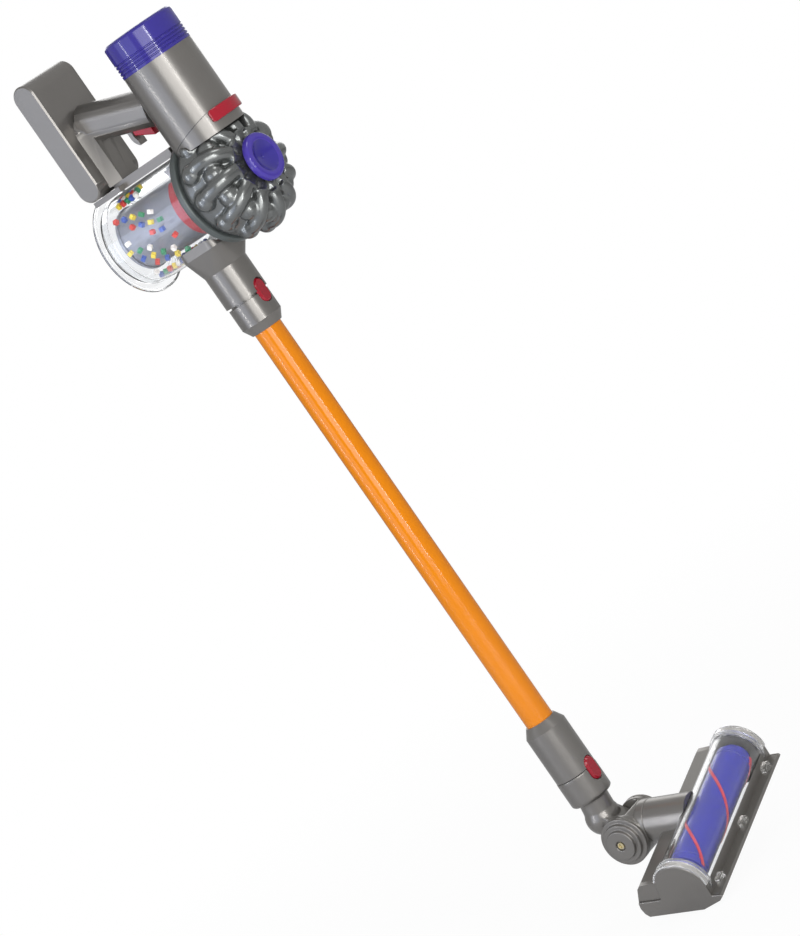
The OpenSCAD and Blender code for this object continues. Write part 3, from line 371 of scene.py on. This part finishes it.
def round_edges(bm: bmesh.types.BMesh, edges: Sequence[bmesh.types.BMEdge], width: float, segments: int,
                clamp: bool = True) -> None:
    """Rounds some edges of a mesh.

    Args:
        bm: mesh to change.
        edges: edges to round.
        width: size of the rounding in millimetres.
        segments: facets across the rounding.
        clamp: False where short neighbours don't hold the width back.
    """
    bmesh.ops.bevel(bm, geom=edges, offset=width * MM, offset_type="OFFSET", affect="EDGES", segments=segments,
                    profile=0.5, material=-1, clamp_overlap=clamp)


def soften(bm: bmesh.types.BMesh, width: float, segments: int = 3, over: float = 30.0) -> bmesh.types.BMesh:
    """Rounds the sharp edges of a mesh.

    Args:
        bm: mesh to change.
        width: size of the rounding in millimetres.
        segments: facets across the rounding.
        over: edges that bend more than this many degrees are sharp.

    Returns:
        The same mesh.
    """
    sharp = [e for e in bm.edges if len(e.link_faces) == 2 and e.calc_face_angle() > math.radians(over)]
    round_edges(bm, sharp, width, segments)
    return bm


def move(bm: bmesh.types.BMesh, place: Matrix | tuple[float, float, float]) -> bmesh.types.BMesh:
    """Moves a mesh by a matrix, or by millimetres along X, Y and Z."""
    if isinstance(place, Matrix):
        bmesh.ops.transform(bm, matrix=place, verts=bm.verts)
    else:
        bmesh.ops.translate(bm, verts=bm.verts, vec=Vector(place) * MM)
    return bm


def node_copy(node: str) -> bmesh.types.BMesh:
    """Copies a CAD node's mesh with its loose triangles merged."""
    bm = bmesh.new()
    bm.from_mesh(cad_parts[node].data)
    bmesh.ops.remove_doubles(bm, verts=bm.verts, dist=0.002 * MM)
    return bm


def make_piece(name: str, bm: bmesh.types.BMesh, finish: Finish, body: str, slot: str,
               *nodes: str, crease: float = 38.0) -> bpy.types.Object:
    """Makes an object that rides on a body.

    Args:
        name: name of the piece.
        bm: its mesh, which is used up.
        finish: its finish.
        body: CAD body that carries it.
        slot: not used.
        nodes: CAD nodes that it stands for.
        crease: edges that bend more than this many degrees stay sharp.

    Returns:
        The new object, whose flat faces stay flat beside rounded edges.
    """
    mesh = bpy.data.meshes.new(name)
    bm.to_mesh(mesh)
    bm.free()
    mesh.shade_smooth()
    mesh.set_sharp_from_angle(angle=math.radians(crease))
    mesh.materials.append(finish.material())
    piece = bpy.data.objects.new(name, mesh)
    bpy.context.scene.collection.objects.link(piece)
    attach(piece, body)
    if nodes:
        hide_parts(*nodes)
    even = piece.modifiers.new("even", "WEIGHTED_NORMAL")
    even.keep_sharp = True
    even.weight = 80
    log.info("%s rides on %s, %d faces", name, body, len(mesh.polygons))
    return piece


def join(bm: bmesh.types.BMesh, other: bmesh.types.BMesh) -> bmesh.types.BMesh:
    """Puts a second mesh into the first, and uses it up."""
    mesh = bpy.data.meshes.new("joined")
    other.to_mesh(mesh)
    other.free()
    bm.from_mesh(mesh)
    bpy.data.meshes.remove(mesh)
    return bm


def fuse(piece: bpy.types.Object, voxel: float, rounds: int) -> None:
    """Melts a piece into one cast skin with filleted joins.

    Args:
        piece: object to change.
        voxel: grid of the skin in millimetres.
        rounds: passes of smoothing.
    """
    piece.modifiers.clear()
    skin = piece.modifiers.new("skin", "REMESH")
    skin.mode = "VOXEL"
    skin.voxel_size = voxel * MM
    skin.use_smooth_shade = True
    ease = piece.modifiers.new("ease", "SMOOTH")
    ease.factor = 0.5
    ease.iterations = rounds


@dataclass
class MotorUnit:
    """Body shells, barrel end pieces and red controls of the main unit."""

    barrel_x: float = 51.8
    barrel_r: float = 25.5
    seam_z: float = -30.5
    cap_z: float = 16.0
    cap_r: float = 25.9
    cap_h: float = 24.0
    cap_edge: float = 3.0
    groove_from: float = 2.0
    groove_pitch: float = 2.4
    groove_w: float = 1.1
    groove_d: float = 0.7
    latch_span: float = 38.0
    latch_h: float = 8.4
    latch_t: float = 2.6
    latch_gap: float = 0.3
    latch_corner: float = 2.4
    line_w: float = 0.55
    line_d: float = 0.8
    line_slope: float = 0.29
    line_level: float = 20.0
    trigger_w: float = 9.0
    pack_edge: float = 1.3
    hook_tip: tuple[float, float] = (3.2, -21.7)
    hook_round: float = 1.9

    def filter_cap(self) -> None:
        """Purple cap, plain above and with four turned grooves at its foot."""
        r, h, edge = self.cap_r, self.cap_h, self.cap_edge
        profile = [(0.0, 0.0), (r, 0.0)]
        for i in range(4):
            low = self.groove_from + i * self.groove_pitch
            profile += [(r, low), (r - self.groove_d, low + 0.2), (r - self.groove_d, low + self.groove_w - 0.2),
                        (r, low + self.groove_w)]
        profile += [(r, h - edge), (r - 0.4, h - 1.5), (r - 1.5, h - 0.4), (r - edge, h), (0.0, h)]
        bm = soften(lathe(profile, Axis.Z), 0.15, 2, 25)
        piece = make_piece("filter_cap_moulding", move(bm, (self.barrel_x, 0, self.cap_z)), Finish.PURPLE, "main",
                           "purple", "filter_cap")
        piece.data.materials.append(Finish.PURPLE_GRAINED.material())
        for face in piece.data.polygons:
            face.material_index = int(face.normal.z > 0.95)

    def latch(self) -> None:
        """Red saddle on the front of the barrel, rounded all over."""
        inner, h = self.barrel_r + self.latch_gap, self.latch_h
        outer = inner + self.latch_t
        bm = lathe([(inner, 0), (outer, 0), (outer, h), (inner, h)], Axis.Z, True, 2 * self.latch_span, 12)
        corners = [e for e in bm.edges if abs(e.verts[0].co.xy.length - e.verts[1].co.xy.length) > 2 * MM]
        corners = [e for e in corners if e.calc_face_angle() > 1]
        round_edges(bm, corners, self.latch_corner, 6)
        soften(bm, 0.8, 4, 40)
        move(bm, Matrix.Rotation(math.radians(-self.latch_span), 4, "Z"))
        move(bm, (self.barrel_x, 0, self.seam_z - h + 0.4))
        make_piece("release_latch_moulding", bm, Finish.RED, "latch", "red", "release_latch")

    def seam(self) -> None:
        """Parting line drawn as a thin black band, a painted shadow in the seam, that slants down the barrel from
        the latch to the rail.
        """
        start, w = self.latch_span - 2, self.line_w
        inner, outer = self.barrel_r - self.line_d, self.barrel_r - 0.02
        bm = lathe([(inner, 0), (outer, 0), (outer, w), (inner, w)], Axis.Z, True, 360 - 2 * start, 150)
        move(bm, Matrix.Rotation(math.radians(start), 4, "Z"))
        for vert in bm.verts:
            vert.co.z += self.line_slope * (vert.co.x - self.line_level * MM)
        # the black band stands in for the shade in the parting gap: a painted shadow line
        make_piece("parting_line_painted_shadow", move(bm, (self.barrel_x, 0, self.seam_z - 0.3)), Finish.BLACK, "main", "black")

    def shells(self) -> None:
        """Body halves with rounded rims and hook, and front housing flush with the barrel."""
        for node in ("body_near", "body_far"):
            bm = node_copy(node)
            bmesh.ops.dissolve_limit(bm, angle_limit=math.radians(0.5), use_dissolve_boundaries=False,
                                     verts=bm.verts, edges=bm.edges)
            flat = [f for f in bm.faces if abs(f.normal.y) > 0.999 and abs(f.calc_center_median().y) > 15 * MM]
            side = max(flat, key=lambda f: f.calc_area())
            rim = [e for e in side.edges if e.is_convex and e.calc_face_angle() > 1]
            round_edges(bm, rim, self.pack_edge, 6, clamp=False)
            tip = [e for e in bm.edges if e.is_convex and e.calc_face_angle() > 0.5
                   and abs((e.verts[1].co - e.verts[0].co).normalized().y) > 0.99
                   and all((v.co.xz - Vector(self.hook_tip) * MM).length < 3 * MM for v in e.verts)]
            round_edges(bm, tip, self.hook_round, 6)
            make_piece(node + "_shell", bm, Finish.SILVER_GREY, "main", "grey", node, crease=20)
        bm = node_copy("front_housing")
        for vert in bm.verts:
            out = Vector((vert.co.x - self.barrel_x * MM, vert.co.y))
            if out.length > (self.barrel_r - 0.5) * MM:
                out = out.normalized() * (self.barrel_r - 0.02) * MM
                vert.co.xy = out.x + self.barrel_x * MM, out.y
        make_piece("front_housing_shell", bm, Finish.SILVER_GREY, "main", "grey", "front_housing", crease=20)

    def trigger(self) -> None:
        """Red trigger blade with rounded edges."""
        low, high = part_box("trigger")
        x0, z0, x1, z1 = (v / MM for v in (low.x, low.z, high.x, high.z))
        rise = (x1 - x0) * math.tan(math.radians(16)) + 2.6
        bm = extrude([(x0, -self.trigger_w / 2, z1), (x1, -self.trigger_w / 2, z1), (x1, -self.trigger_w / 2, z0),
                      (x0, -self.trigger_w / 2, z0 + rise)], (0, self.trigger_w, 0))
        make_piece("trigger_blade", soften(bm, 0.9, 4), Finish.RED, "trigger", "red", "trigger")

    def build(self) -> None:
        """Builds the pieces."""
        self.shells()
        self.filter_cap()
        self.seam()
        self.latch()
        self.trigger()


@dataclass
class Cyclones:
    """Cast cyclone cluster, its dished boss and the skirt under it."""

    axis_z: float = -73.5
    skirt_x: float = 29.2
    skirt_end: float = 34.4
    skirt_r: float = 38.3
    hole_r: float = 18.0
    boss_x: float = 74.9
    boss_t: float = 5.4
    boss_r: float = 16.5
    stem_r: float = 9.0
    stem_x: float = 72.8
    housing_low: float = -44.5
    voxel: float = 0.8
    smoothing: int = 6
    ducts: int = 12
    knob_r: float = 7.3
    knob_out: float = 31.0
    knob_x: float = 60.6

    def cluster(self) -> None:
        """Ducts, bulbs and dome melted into one cast skin."""
        bm = node_copy("cyclone_cluster")
        fill = lathe([(0, self.skirt_end), (35.4, self.skirt_end), (37.4, 39), (37.6, 46), (35.6, 54), (31.2, 61.5),
                      (24.4, 67.6), (15.5, 71.4), (9.5, 72.6), (0, 72.6)], Axis.X)
        for i in range(self.ducts):
            turn = Matrix.Rotation(math.radians((i + 0.5) * 360 / self.ducts), 4, "X")
            place = Matrix.Translation(Vector((self.knob_x, 0, self.knob_out)) * MM)
            bmesh.ops.create_uvsphere(fill, u_segments=24, v_segments=16, radius=self.knob_r * MM,
                                      matrix=turn @ place)
        move(fill, (0, 0, self.axis_z))
        bmesh.ops.bisect_plane(fill, geom=fill.verts[:] + fill.edges[:] + fill.faces[:], clear_outer=True,
                               plane_co=(0, 0, self.housing_low * MM), plane_no=(0, 0, 1))
        bmesh.ops.holes_fill(fill, edges=[e for e in fill.edges if e.is_boundary], sides=0)
        piece = make_piece("cyclone_casting", join(bm, fill), Finish.GUNMETAL, "main", "iron", "cyclone_cluster")
        fuse(piece, self.voxel, self.smoothing)

    def boss(self) -> None:
        """Violet boss with a flat rim, a dish and a dimple at its middle; the rim is drawn in a lighter violet as a
        painted highlight and the dish in darker purple as painted shade.
        """
        x, t, r = self.boss_x, self.boss_t, self.boss_r
        front = x + t
        profile = [(0.0, self.stem_x), (self.stem_r, self.stem_x), (self.stem_r, x), (r - 1.2, x), (r, x + 1.2),
                   (r, front - 1.8), (r - 0.6, front - 0.6), (r - 1.8, front), (r - 4.6, front - 0.1),
                   (r - 5.4, front - 0.5), (r - 6.6, front - 1.5), (r - 8.8, front - 2.7), (r - 11.4, front - 3.4),
                   (2.2, front - 3.7), (1.4, front - 3.9), (1.0, front - 4.5), (0.0, front - 4.7)]
        bm = move(lathe(profile, Axis.X), (0, 0, self.axis_z))
        piece = make_piece("cyclone_boss_moulding", bm, Finish.VIOLET, "main", "purple", "cyclone_boss")
        piece.data.materials.append(Finish.PURPLE.material())
        # dish faces take the darker purple: painted shade in the dish, against the painted highlight of the rim
        for face in piece.data.polygons:
            out = math.hypot(face.center.y, face.center.z - self.axis_z * MM)
            face.material_index = int(out < (r - 5.4) * MM and face.center.x > x * MM)

    def skirt(self) -> None:
        """Dark skirt ring with a rounded rim."""
        r, x0, x1 = self.skirt_r, self.skirt_x, self.skirt_end
        bm = lathe([(self.hole_r, x0), (r, x0), (r, x1), (self.hole_r, x1)], Axis.X, True)
        move(soften(bm, 1.6, 5), (0, 0, self.axis_z))
        make_piece("skirt_ring_moulding", bm, Finish.SKIRT, "main", "dark", "skirt_ring")

    def build(self) -> None:
        """Builds the pieces."""
        self.cluster()
        self.boss()
        self.skirt()


@dataclass
class DustBin:
    """Clear bin with its lid, shroud and red ring."""

    axis_z: float = -73.5
    tube_r: float = 31.8
    wall: float = 1.6
    back: float = -51.4
    tube_from: float = -47.4
    tube_to: float = 29.18
    lid_r: float = 36.7
    lid_floor: float = 1.6
    shroud_r: float = 21.5
    shroud_from: float = -45.4
    ring_h: float = 7.0
    collar_len: float = 11.5
    open_half: float = 32.0

    def clear_parts(self) -> None:
        """Tube and lid as thin clear mouldings with rounded rims."""
        r, w = self.tube_r, self.wall
        tube = lathe([(r - w, self.tube_from), (r, self.tube_from), (r, self.tube_to), (r - w, self.tube_to)],
                     Axis.X, True)
        soften(tube, 0.5, 3)
        move(tube, (0, 0, self.axis_z))
        make_piece("bin_tube_clear", tube, Finish.CLEAR, "main", "clear", "bin_tube")
        R, b, t = self.lid_r, self.back, self.lid_floor
        lip = r - w - 0.05
        lid = lathe([(0.0, b), (R - 1.2, b), (R, b + 1.2), (R, self.tube_from), (R - 1.5, self.tube_from),
                     (R - 1.5, b + 2.2), (R - 2.1, b + t), (lip, b + t), (lip, self.tube_from + 5),
                     (lip - 1.4, self.tube_from + 5), (lip - 1.4, b + t), (0.0, b + t)], Axis.X)
        soften(lid, 0.4, 3)
        move(lid, (0, 0, self.axis_z))
        make_piece("bin_lid_clear", lid, Finish.CLEAR, "main", "clear", "bin_lid")

    def inner_parts(self) -> None:
        """Silver shroud with its end rim, and the red ring against the skirt."""
        r, x0 = self.shroud_r, self.shroud_from
        ring_x = self.tube_to - self.ring_h
        shroud = lathe([(0.0, x0), (r - 0.8, x0), (r, x0 + 0.8), (r, x0 + 2), (r + 1, x0 + 2.2),
                        (r + 1, x0 + 3.8), (r, x0 + 4), (r, ring_x), (0.0, ring_x)], Axis.X)
        move(shroud, (0, 0, self.axis_z))
        make_piece("shroud_moulding", shroud, Finish.SHROUD, "main", "pale", "bin_shroud")
        outer = self.tube_r - self.wall - 0.3
        ring = lathe([(r - 2, ring_x), (outer, ring_x), (outer, self.tube_to), (r - 2, self.tube_to)], Axis.X, True)
        collar = lathe([(r + 0.02, ring_x - self.collar_len), (r + 1.2, ring_x - self.collar_len),
                        (r + 1.2, ring_x + 1), (r + 0.02, ring_x + 1)], Axis.X, True, 360 - 2 * self.open_half)
        move(collar, Matrix.Rotation(math.radians(self.open_half), 4, "X"))
        soften(join(ring, collar), 0.3, 2)
        move(ring, (0, 0, self.axis_z))
        make_piece("shroud_ring_moulding", ring, Finish.RED, "main", "red", "shroud_ring")

    def build(self) -> None:
        """Builds the pieces."""
        self.clear_parts()
        self.inner_parts()


@dataclass
class Wand:
    """Orange tube and the red buttons at its joints."""

    tube_r: float = 10.0
    bore_r: float = 8.4
    cuff_r: float = 15.0
    stand: float = 0.9
    thick: float = 2.0
    button_len: float = 17.0
    button_w: float = 10.6
    crown_inset: float = 1.2
    rim_drop: float = 0.9

    def tube(self) -> None:
        """Extruded tube, a plain pipe with eased ends."""
        low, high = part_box("wand_tube")
        z0, z1 = low.z / MM, high.z / MM
        bm = lathe([(self.bore_r, z0), (self.tube_r, z0), (self.tube_r, z1), (self.bore_r, z1)], Axis.Z, True)
        make_piece("wand_tube_extrusion", soften(bm, 0.3, 2), Finish.ORANGE, "wand", "orange", "wand_tube")

    def button(self, node: str, body: str) -> None:
        """Oval button whose crown follows the cuff.

        Args:
            node: CAD node that it stands for.
            body: body that carries it.
        """
        low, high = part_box(node)
        middle = (low.z + high.z) / 2 / MM
        face = self.cuff_r + self.stand
        bm = bmesh.new()
        bmesh.ops.create_circle(bm, cap_ends=True, segments=56, radius=self.button_w / 2 * MM)
        stretch = (self.button_len - self.button_w) / 2 * MM
        for vert in bm.verts:
            vert.co.y += math.copysign(stretch, vert.co.y)
        move(bm, Matrix(((0, 0, 1, 0), (1, 0, 0, 0), (0, 1, 0, 0), (0, 0, 0, 1))))
        made = bmesh.ops.extrude_face_region(bm, geom=bm.faces[:], use_keep_orig=True)
        crown = [g for g in made["geom"] if isinstance(g, bmesh.types.BMVert)]
        bmesh.ops.translate(bm, verts=crown, vec=(3 * MM, 0, 0))
        top = [f for f in bm.faces if all(v in crown for v in f.verts)]
        bmesh.ops.inset_region(bm, faces=top, thickness=self.crown_inset * MM, depth=0)
        bmesh.ops.recalc_face_normals(bm, faces=bm.faces)
        for vert in bm.verts:
            edge = vert.co.x > 2 * MM
            rim = any(len(f.verts) == 4 and abs(f.normal.x) < 0.5 for f in vert.link_faces)
            reach = face - (self.rim_drop if rim else 0.0)
            drop = reach - math.sqrt(reach ** 2 - (vert.co.y / MM) ** 2)
            vert.co.x = (reach - drop) * MM if edge else (face - self.thick - self.stand) * MM
        soften(bm, 0.4, 3, 25)
        make_piece(node + "_moulding", move(bm, (0, 0, middle)), Finish.RED, body, "red", node)

    def build(self) -> None:
        """Builds the pieces."""
        self.tube()
        self.button("neck_button", "neck_button")
        self.button("cuff_button", "cuff_button")


@dataclass
class FloorHead:
    """Elbow, hinge caps, end plates, clear cover and roller of the floor head."""

    hinge: tuple[float, float, float] = (14.0, 0.0, -576.7)
    hinge_rest: float = 14.0
    swivel_rest: float = 16.0
    neck_rise: float = 5.0
    cheek_out: float = 15.0
    cap_r: float = 17.0
    cap_step: float = 2.6
    sole: float = -25.8
    back: float = 20.4
    front: float = 84.4
    toe: float = 19.0
    lip: float = 10.6
    ledge: float = 27.4
    step: float = 13.0
    roller_x: float = 59.4
    roller_z: float = -3.8
    roller_r: float = 13.0
    roller_len: float = 110.0
    hump_r: float = 17.6
    head_len: float = 130.0
    cover_t: float = 1.5
    cover_arc: tuple[float, float] = (-36.0, 161.0)
    rim_w: float = 2.6
    rim_h: float = 1.4
    lap: float = 4.4
    plate_t: float = 5.0
    recess: float = 1.4

    def at_head(self) -> Matrix:
        """Place of the head at rest."""
        place = Matrix.Translation(Vector(self.hinge) * MM) @ Matrix.Rotation(math.radians(self.hinge_rest), 4, "Y")
        lift = Matrix.Translation((0, 0, self.neck_rise * MM))
        return place @ lift @ Matrix.Rotation(math.radians(self.swivel_rest), 4, "X")

    def hinge_caps(self) -> None:
        """Stepped round caps over both ends of the hinge."""
        r, s = self.cap_r, self.cap_step
        for node, side in (("hinge_cap_near", -1), ("hinge_cap_far", 1)):
            profile = [(0.0, 0.0), (r, 0.0), (r, s), (r - 3.2, s), (r - 3.2, 2 * s), (r - 6.6, 2 * s),
                       (r - 6.6, 3 * s), (3.3, 3 * s), (3.3, 3 * s - 2), (0.0, 3 * s - 2)]
            bm = soften(lathe([(a, side * b) for a, b in profile], Axis.Y), 0.8, 4)
            place = (self.hinge[0], side * self.cheek_out, self.hinge[2])
            make_piece(node + "_moulding", move(bm, place), Finish.SILVER_GREY, "swivel", "grey", node)

    def castings(self) -> None:
        """Elbow and swivel housing with filleted joins."""
        for node, body in (("elbow", "elbow"), ("swivel_housing", "swivel")):
            piece = make_piece(node + "_casting", node_copy(node), Finish.SILVER_GREY, body, "grey", node)
            fuse(piece, 0.6, 5)

    def outline(self, cut: bool) -> list[tuple[float, float]]:
        """Side outline of the head.

        Args:
            cut: True for the outer layer, whose rear corner is cut back above the step.

        Returns:
            Corners along X and Z.
        """
        b, f, s = self.back, self.front, self.sole
        arc = [(self.roller_x + self.hump_r * math.cos(math.radians(a)),
                self.roller_z + self.hump_r * math.sin(math.radians(a))) for a in range(0, 163, 6)]
        rear = [(b + 9, s + self.ledge - 1), (b + 6, s + self.ledge - 3.6), (b + 1, s + self.step)]
        if cut:
            rear = [(b + 21.0, s + self.ledge - 4.4), (b + 19.4, s + self.step + 1.6), (b + 17.6, s + self.step),
                    (b + 1, s + self.step)]
        return ([(b + 3, s), (f - self.toe, s), (f - 4, s + 5.6), (f, s + self.lip - 1.4), (f - 1.2, s + self.lip),
                 (self.roller_x + self.hump_r - 0.2, s + self.lip)] + arc + rear + [(b, s + 8), (b + 0.8, s + 3)])

    def end_plates(self) -> None:
        """End plates in two layers, the outer one stepped at its rear corner."""
        for node, side in (("end_plate_near", -1), ("end_plate_far", 1)):
            inner = side * (self.head_len / 2 - self.plate_t)
            middle = side * (self.head_len / 2 - self.recess)
            bm = extrude([(x, inner, z) for x, z in self.outline(False)], (0, middle - inner, 0))
            outer = extrude([(x, middle, z) for x, z in self.outline(True)], (0, side * self.recess, 0))
            join(bm, soften(outer, 0.6, 3, 60))
            make_piece(node + "_moulding", move(bm, self.at_head()), Finish.SILVER_GREY, "head", "grey", node)

    def arch(self, inner: float, outer: float, y0: float, y1: float, trim: float = 0.0) -> bmesh.types.BMesh:
        """Curved strip around the roller, as wide as the cover's arc.

        Args:
            inner: inner radius.
            outer: outer radius.
            y0: near end.
            y1: far end.
            trim: degrees by which its front end stops short of the cover's.

        Returns:
            A closed mesh in the head's place.
        """
        front, rear = self.cover_arc[0] + trim, self.cover_arc[1]
        bm = lathe([(inner, y0), (outer, y0), (outer, y1), (inner, y1)], Axis.Y, True, rear - front, 72)
        move(bm, Matrix.Rotation(math.radians(90 - rear), 4, "Y"))
        return move(move(bm, (self.roller_x, 0, self.roller_z)), self.at_head())

    def cover(self) -> None:
        """Clear cover with a thick rim at each end that laps over the end plate."""
        r, t, half, w = self.hump_r, self.cover_t, self.head_len / 2 - self.plate_t, self.rim_w
        wall = self.arch(r - t, r, -half + w, half - w)
        make_piece("head_cover_wall", soften(wall, 0.2, 2), Finish.CLEAR, "head", "clear", "head_cover")
        for name, side in (("near", -1), ("far", 1)):
            inner = sorted((side * (half - w), side * (half - 0.02)))
            outer = sorted((side * (half - 0.01), side * (half + self.lap)))
            rim = soften(self.arch(r - t, r + self.rim_h, *inner), 0.3, 3, 50)
            join(rim, soften(self.arch(r + 0.03, r + self.rim_h, *outer, trim=30), 0.3, 3, 50))
            make_piece("head_cover_rim_" + name, rim, Finish.CLEAR_RIM, "head", "clear")

    def roller(self) -> None:
        """Roller with a turned collar at each end."""
        r, half = self.roller_r, self.roller_len / 2
        profile = [(0.0, -half), (r - 3, -half), (r - 3, -half + 3), (r - 0.4, -half + 4), (r - 0.4, -half + 8),
                   (r - 1, -half + 8.4), (r - 1, -half + 9), (r - 0.1, -half + 9.6)]
        profile += [(a, -b) for a, b in reversed(profile)]
        bm = soften(lathe(profile, Axis.Y), 0.2, 2)
        move(move(bm, (self.roller_x, 0, self.roller_z)), self.at_head())
        make_piece("roller_moulding", bm, Finish.ROLLER, "roller", "violet", "roller")

    def build(self) -> None:
        """Builds the pieces."""
        self.hinge_caps()
        self.castings()
        self.end_plates()
        self.cover()
        self.roller()


def bearing_vector(azimuth: float, elevation: float) -> Vector:
    """Direction from the object to a place around it, by its angles in degrees."""
    a, e = math.radians(azimuth), math.radians(elevation)
    return Vector((math.sin(a) * math.cos(e), -math.cos(a) * math.cos(e), math.sin(e)))


@dataclass(frozen=True)
class Softbox:
    """A panel lamp that faces the object."""

    name: str
    bearing: float  # degrees to the right of the camera, seen from above
    height: float  # degrees above the horizon
    distance: float  # metres from the object
    size: tuple[float, float]  # width and height in metres
    power: float  # watts
    hue: str = "#ffffff"


@dataclass
class Studio:
    """White studio: pale floor, a key panel, two strip softboxes, three fill panels and the camera."""

    place: tuple[float, float, float] = (1.6597, -2.0139, -0.0275)
    azimuth: float = 39.08
    elevation: float = 5.79
    roll: float = 34.68
    lens_mm: float = 154.3
    sensor_mm: float = 36.0
    aim: tuple[float, float, float] = (0.0146, 0.0119, -0.2922)
    light_level: float = 0.27
    mirror_share: float = 0.36
    floor_r: float = 8.0
    floor_glow: float = 0.95
    floor_fade: tuple[float, float] = (0.62, 1.4)
    lamps: tuple[Softbox, ...] = (
        Softbox("key", 1, 10, 1.6, (0.9, 1.1), 10.5),
        Softbox("strip_right", 18, 10, 1.58, (0.05, 1.1), 5.2),
        Softbox("strip_left", -67, 10, 1.48, (0.035, 1.1), 2.4),
        Softbox("panel_left", -60, 10, 1.5, (1.5, 1.1), 6.0, "#d8e4ff"),
        Softbox("panel_top", 62, 58, 1.9, (0.6, 0.6), 4.5),
        Softbox("panel_back", 178, 24, 1.8, (1.3, 0.9), 6.0),
    )

    def camera(self) -> None:
        """Sets the camera at the photograph's place, rolled as the photograph is."""
        a, r = math.radians(self.azimuth), math.radians(self.roll)
        back = bearing_vector(self.azimuth, self.elevation)
        side = Vector((math.cos(a), math.sin(a), 0))
        over = back.cross(side)
        right = side * math.cos(r) - over * math.sin(r)
        up = side * math.sin(r) + over * math.cos(r)
        turn = Matrix((right, up, back)).transposed().to_4x4()
        data = bpy.data.cameras.new("camera")
        data.lens = self.lens_mm
        data.sensor_width = self.sensor_mm
        data.clip_end = 50
        camera = bpy.data.objects.new("camera", data)
        camera.matrix_world = Matrix.Translation(self.place) @ turn
        bpy.context.scene.collection.objects.link(camera)
        bpy.context.scene.camera = camera

    def lamp(self, box: Softbox) -> None:
        """Adds a softbox.

        Args:
            box: what it is and where it stands.
        """
        back = bearing_vector(self.azimuth + box.bearing, box.height)
        data = bpy.data.lights.new(box.name, "AREA")
        data.shape = "RECTANGLE"
        data.size, data.size_y = box.size
        data.energy = box.power
        data.color = linear(box.hue)[:3]
        lamp = bpy.data.objects.new(box.name, data)
        lamp.location = Vector(self.aim) + back * box.distance
        lamp.visible_camera = False
        lamp.rotation_euler = (-back).to_track_quat("-Z", "Y").to_euler()
        bpy.context.scene.collection.objects.link(lamp)

    def world(self) -> None:
        """White all round for the camera, mirrors and glass, and a lower even level for the light on the object."""
        world = bpy.data.worlds.new("studio")
        bpy.context.scene.world = world
        world.use_nodes = True
        tree = world.node_tree
        tree.nodes.clear()
        path = add(tree, "ShaderNodeLightPath")
        clear = add(tree, "ShaderNodeMath", {0: path.outputs["Is Camera Ray"],
                                             1: path.outputs["Is Transmission Ray"]}, operation="MAXIMUM")
        gloss = add(tree, "ShaderNodeMath", {0: path.outputs["Is Glossy Ray"], 1: self.mirror_share},
                    operation="MULTIPLY")
        seen = add(tree, "ShaderNodeMath", {0: clear.outputs["Value"], 1: gloss.outputs["Value"]},
                   operation="MAXIMUM")
        light = add(tree, "ShaderNodeBackground", {"Color": linear("#ffffff"), "Strength": self.light_level})
        white = add(tree, "ShaderNodeBackground", {"Color": linear("#ffffff"), "Strength": 1.0})
        mixed = add(tree, "ShaderNodeMixShader", {"Fac": seen.outputs["Value"], 1: light.outputs["Background"],
                                                  2: white.outputs["Background"]})
        add(tree, "ShaderNodeOutputWorld", {"Surface": mixed.outputs["Shader"]})

    def floor(self) -> None:
        """Lays a pale floor under the head that keeps a faint shadow."""
        bm = bmesh.new()
        bmesh.ops.create_circle(bm, cap_ends=True, segments=96, radius=self.floor_r)
        bmesh.ops.translate(bm, verts=bm.verts, vec=(0, 0, cad_box[0].z - 0.0005))
        mesh = bpy.data.meshes.new("floor")
        bm.to_mesh(mesh)
        bm.free()
        material = empty_material("floor_paper_white")
        tree = material.node_tree
        path = add(tree, "ShaderNodeLightPath")
        paper = add(tree, "ShaderNodeBsdfDiffuse", {"Color": linear("#f4f4f4")})
        glow = add(tree, "ShaderNodeEmission", {"Color": linear("#ffffff"), "Strength": 1.0})
        seen = add(tree, "ShaderNodeMath", {0: path.outputs["Is Camera Ray"],
                                            1: path.outputs["Is Transmission Ray"]}, operation="MAXIMUM")
        place = add(tree, "ShaderNodeTexCoord").outputs["Object"]
        reach = add(tree, "ShaderNodeVectorMath", {0: place}, operation="LENGTH")
        near, far = self.floor_fade
        fade = add(tree, "ShaderNodeMapRange", {"Value": reach.outputs["Value"], "From Min": near, "From Max": far,
                                                "To Min": self.floor_glow, "To Max": 1.0})
        share = add(tree, "ShaderNodeMath", {0: seen.outputs["Value"], 1: fade.outputs["Result"]},
                    operation="MULTIPLY")
        mixed = add(tree, "ShaderNodeMixShader", {"Fac": share.outputs["Value"], 1: paper.outputs["BSDF"],
                                                  2: glow.outputs["Emission"]})
        add(tree, "ShaderNodeOutputMaterial", {"Surface": mixed.outputs["Shader"]})
        mesh.materials.append(material)
        floor = bpy.data.objects.new("floor", mesh)
        bpy.context.scene.collection.objects.link(floor)

    def build(self) -> None:
        """Sets up camera, light and floor."""
        self.camera()
        self.world()
        self.floor()
        for box in self.lamps:
            self.lamp(box)
        bpy.context.scene.view_settings.view_transform = "Standard"


def main() -> None:
    """Builds the studio and the toy, piece by piece."""
    logging.basicConfig(level=logging.INFO, format="%(name)s: %(message)s")
    Studio().build()
    dress_nodes()
    for part in (MotorUnit(), Cyclones(), DustBin(), Wand(), FloorHead()):
        part.build()


if __name__ == "__main__":
    main()
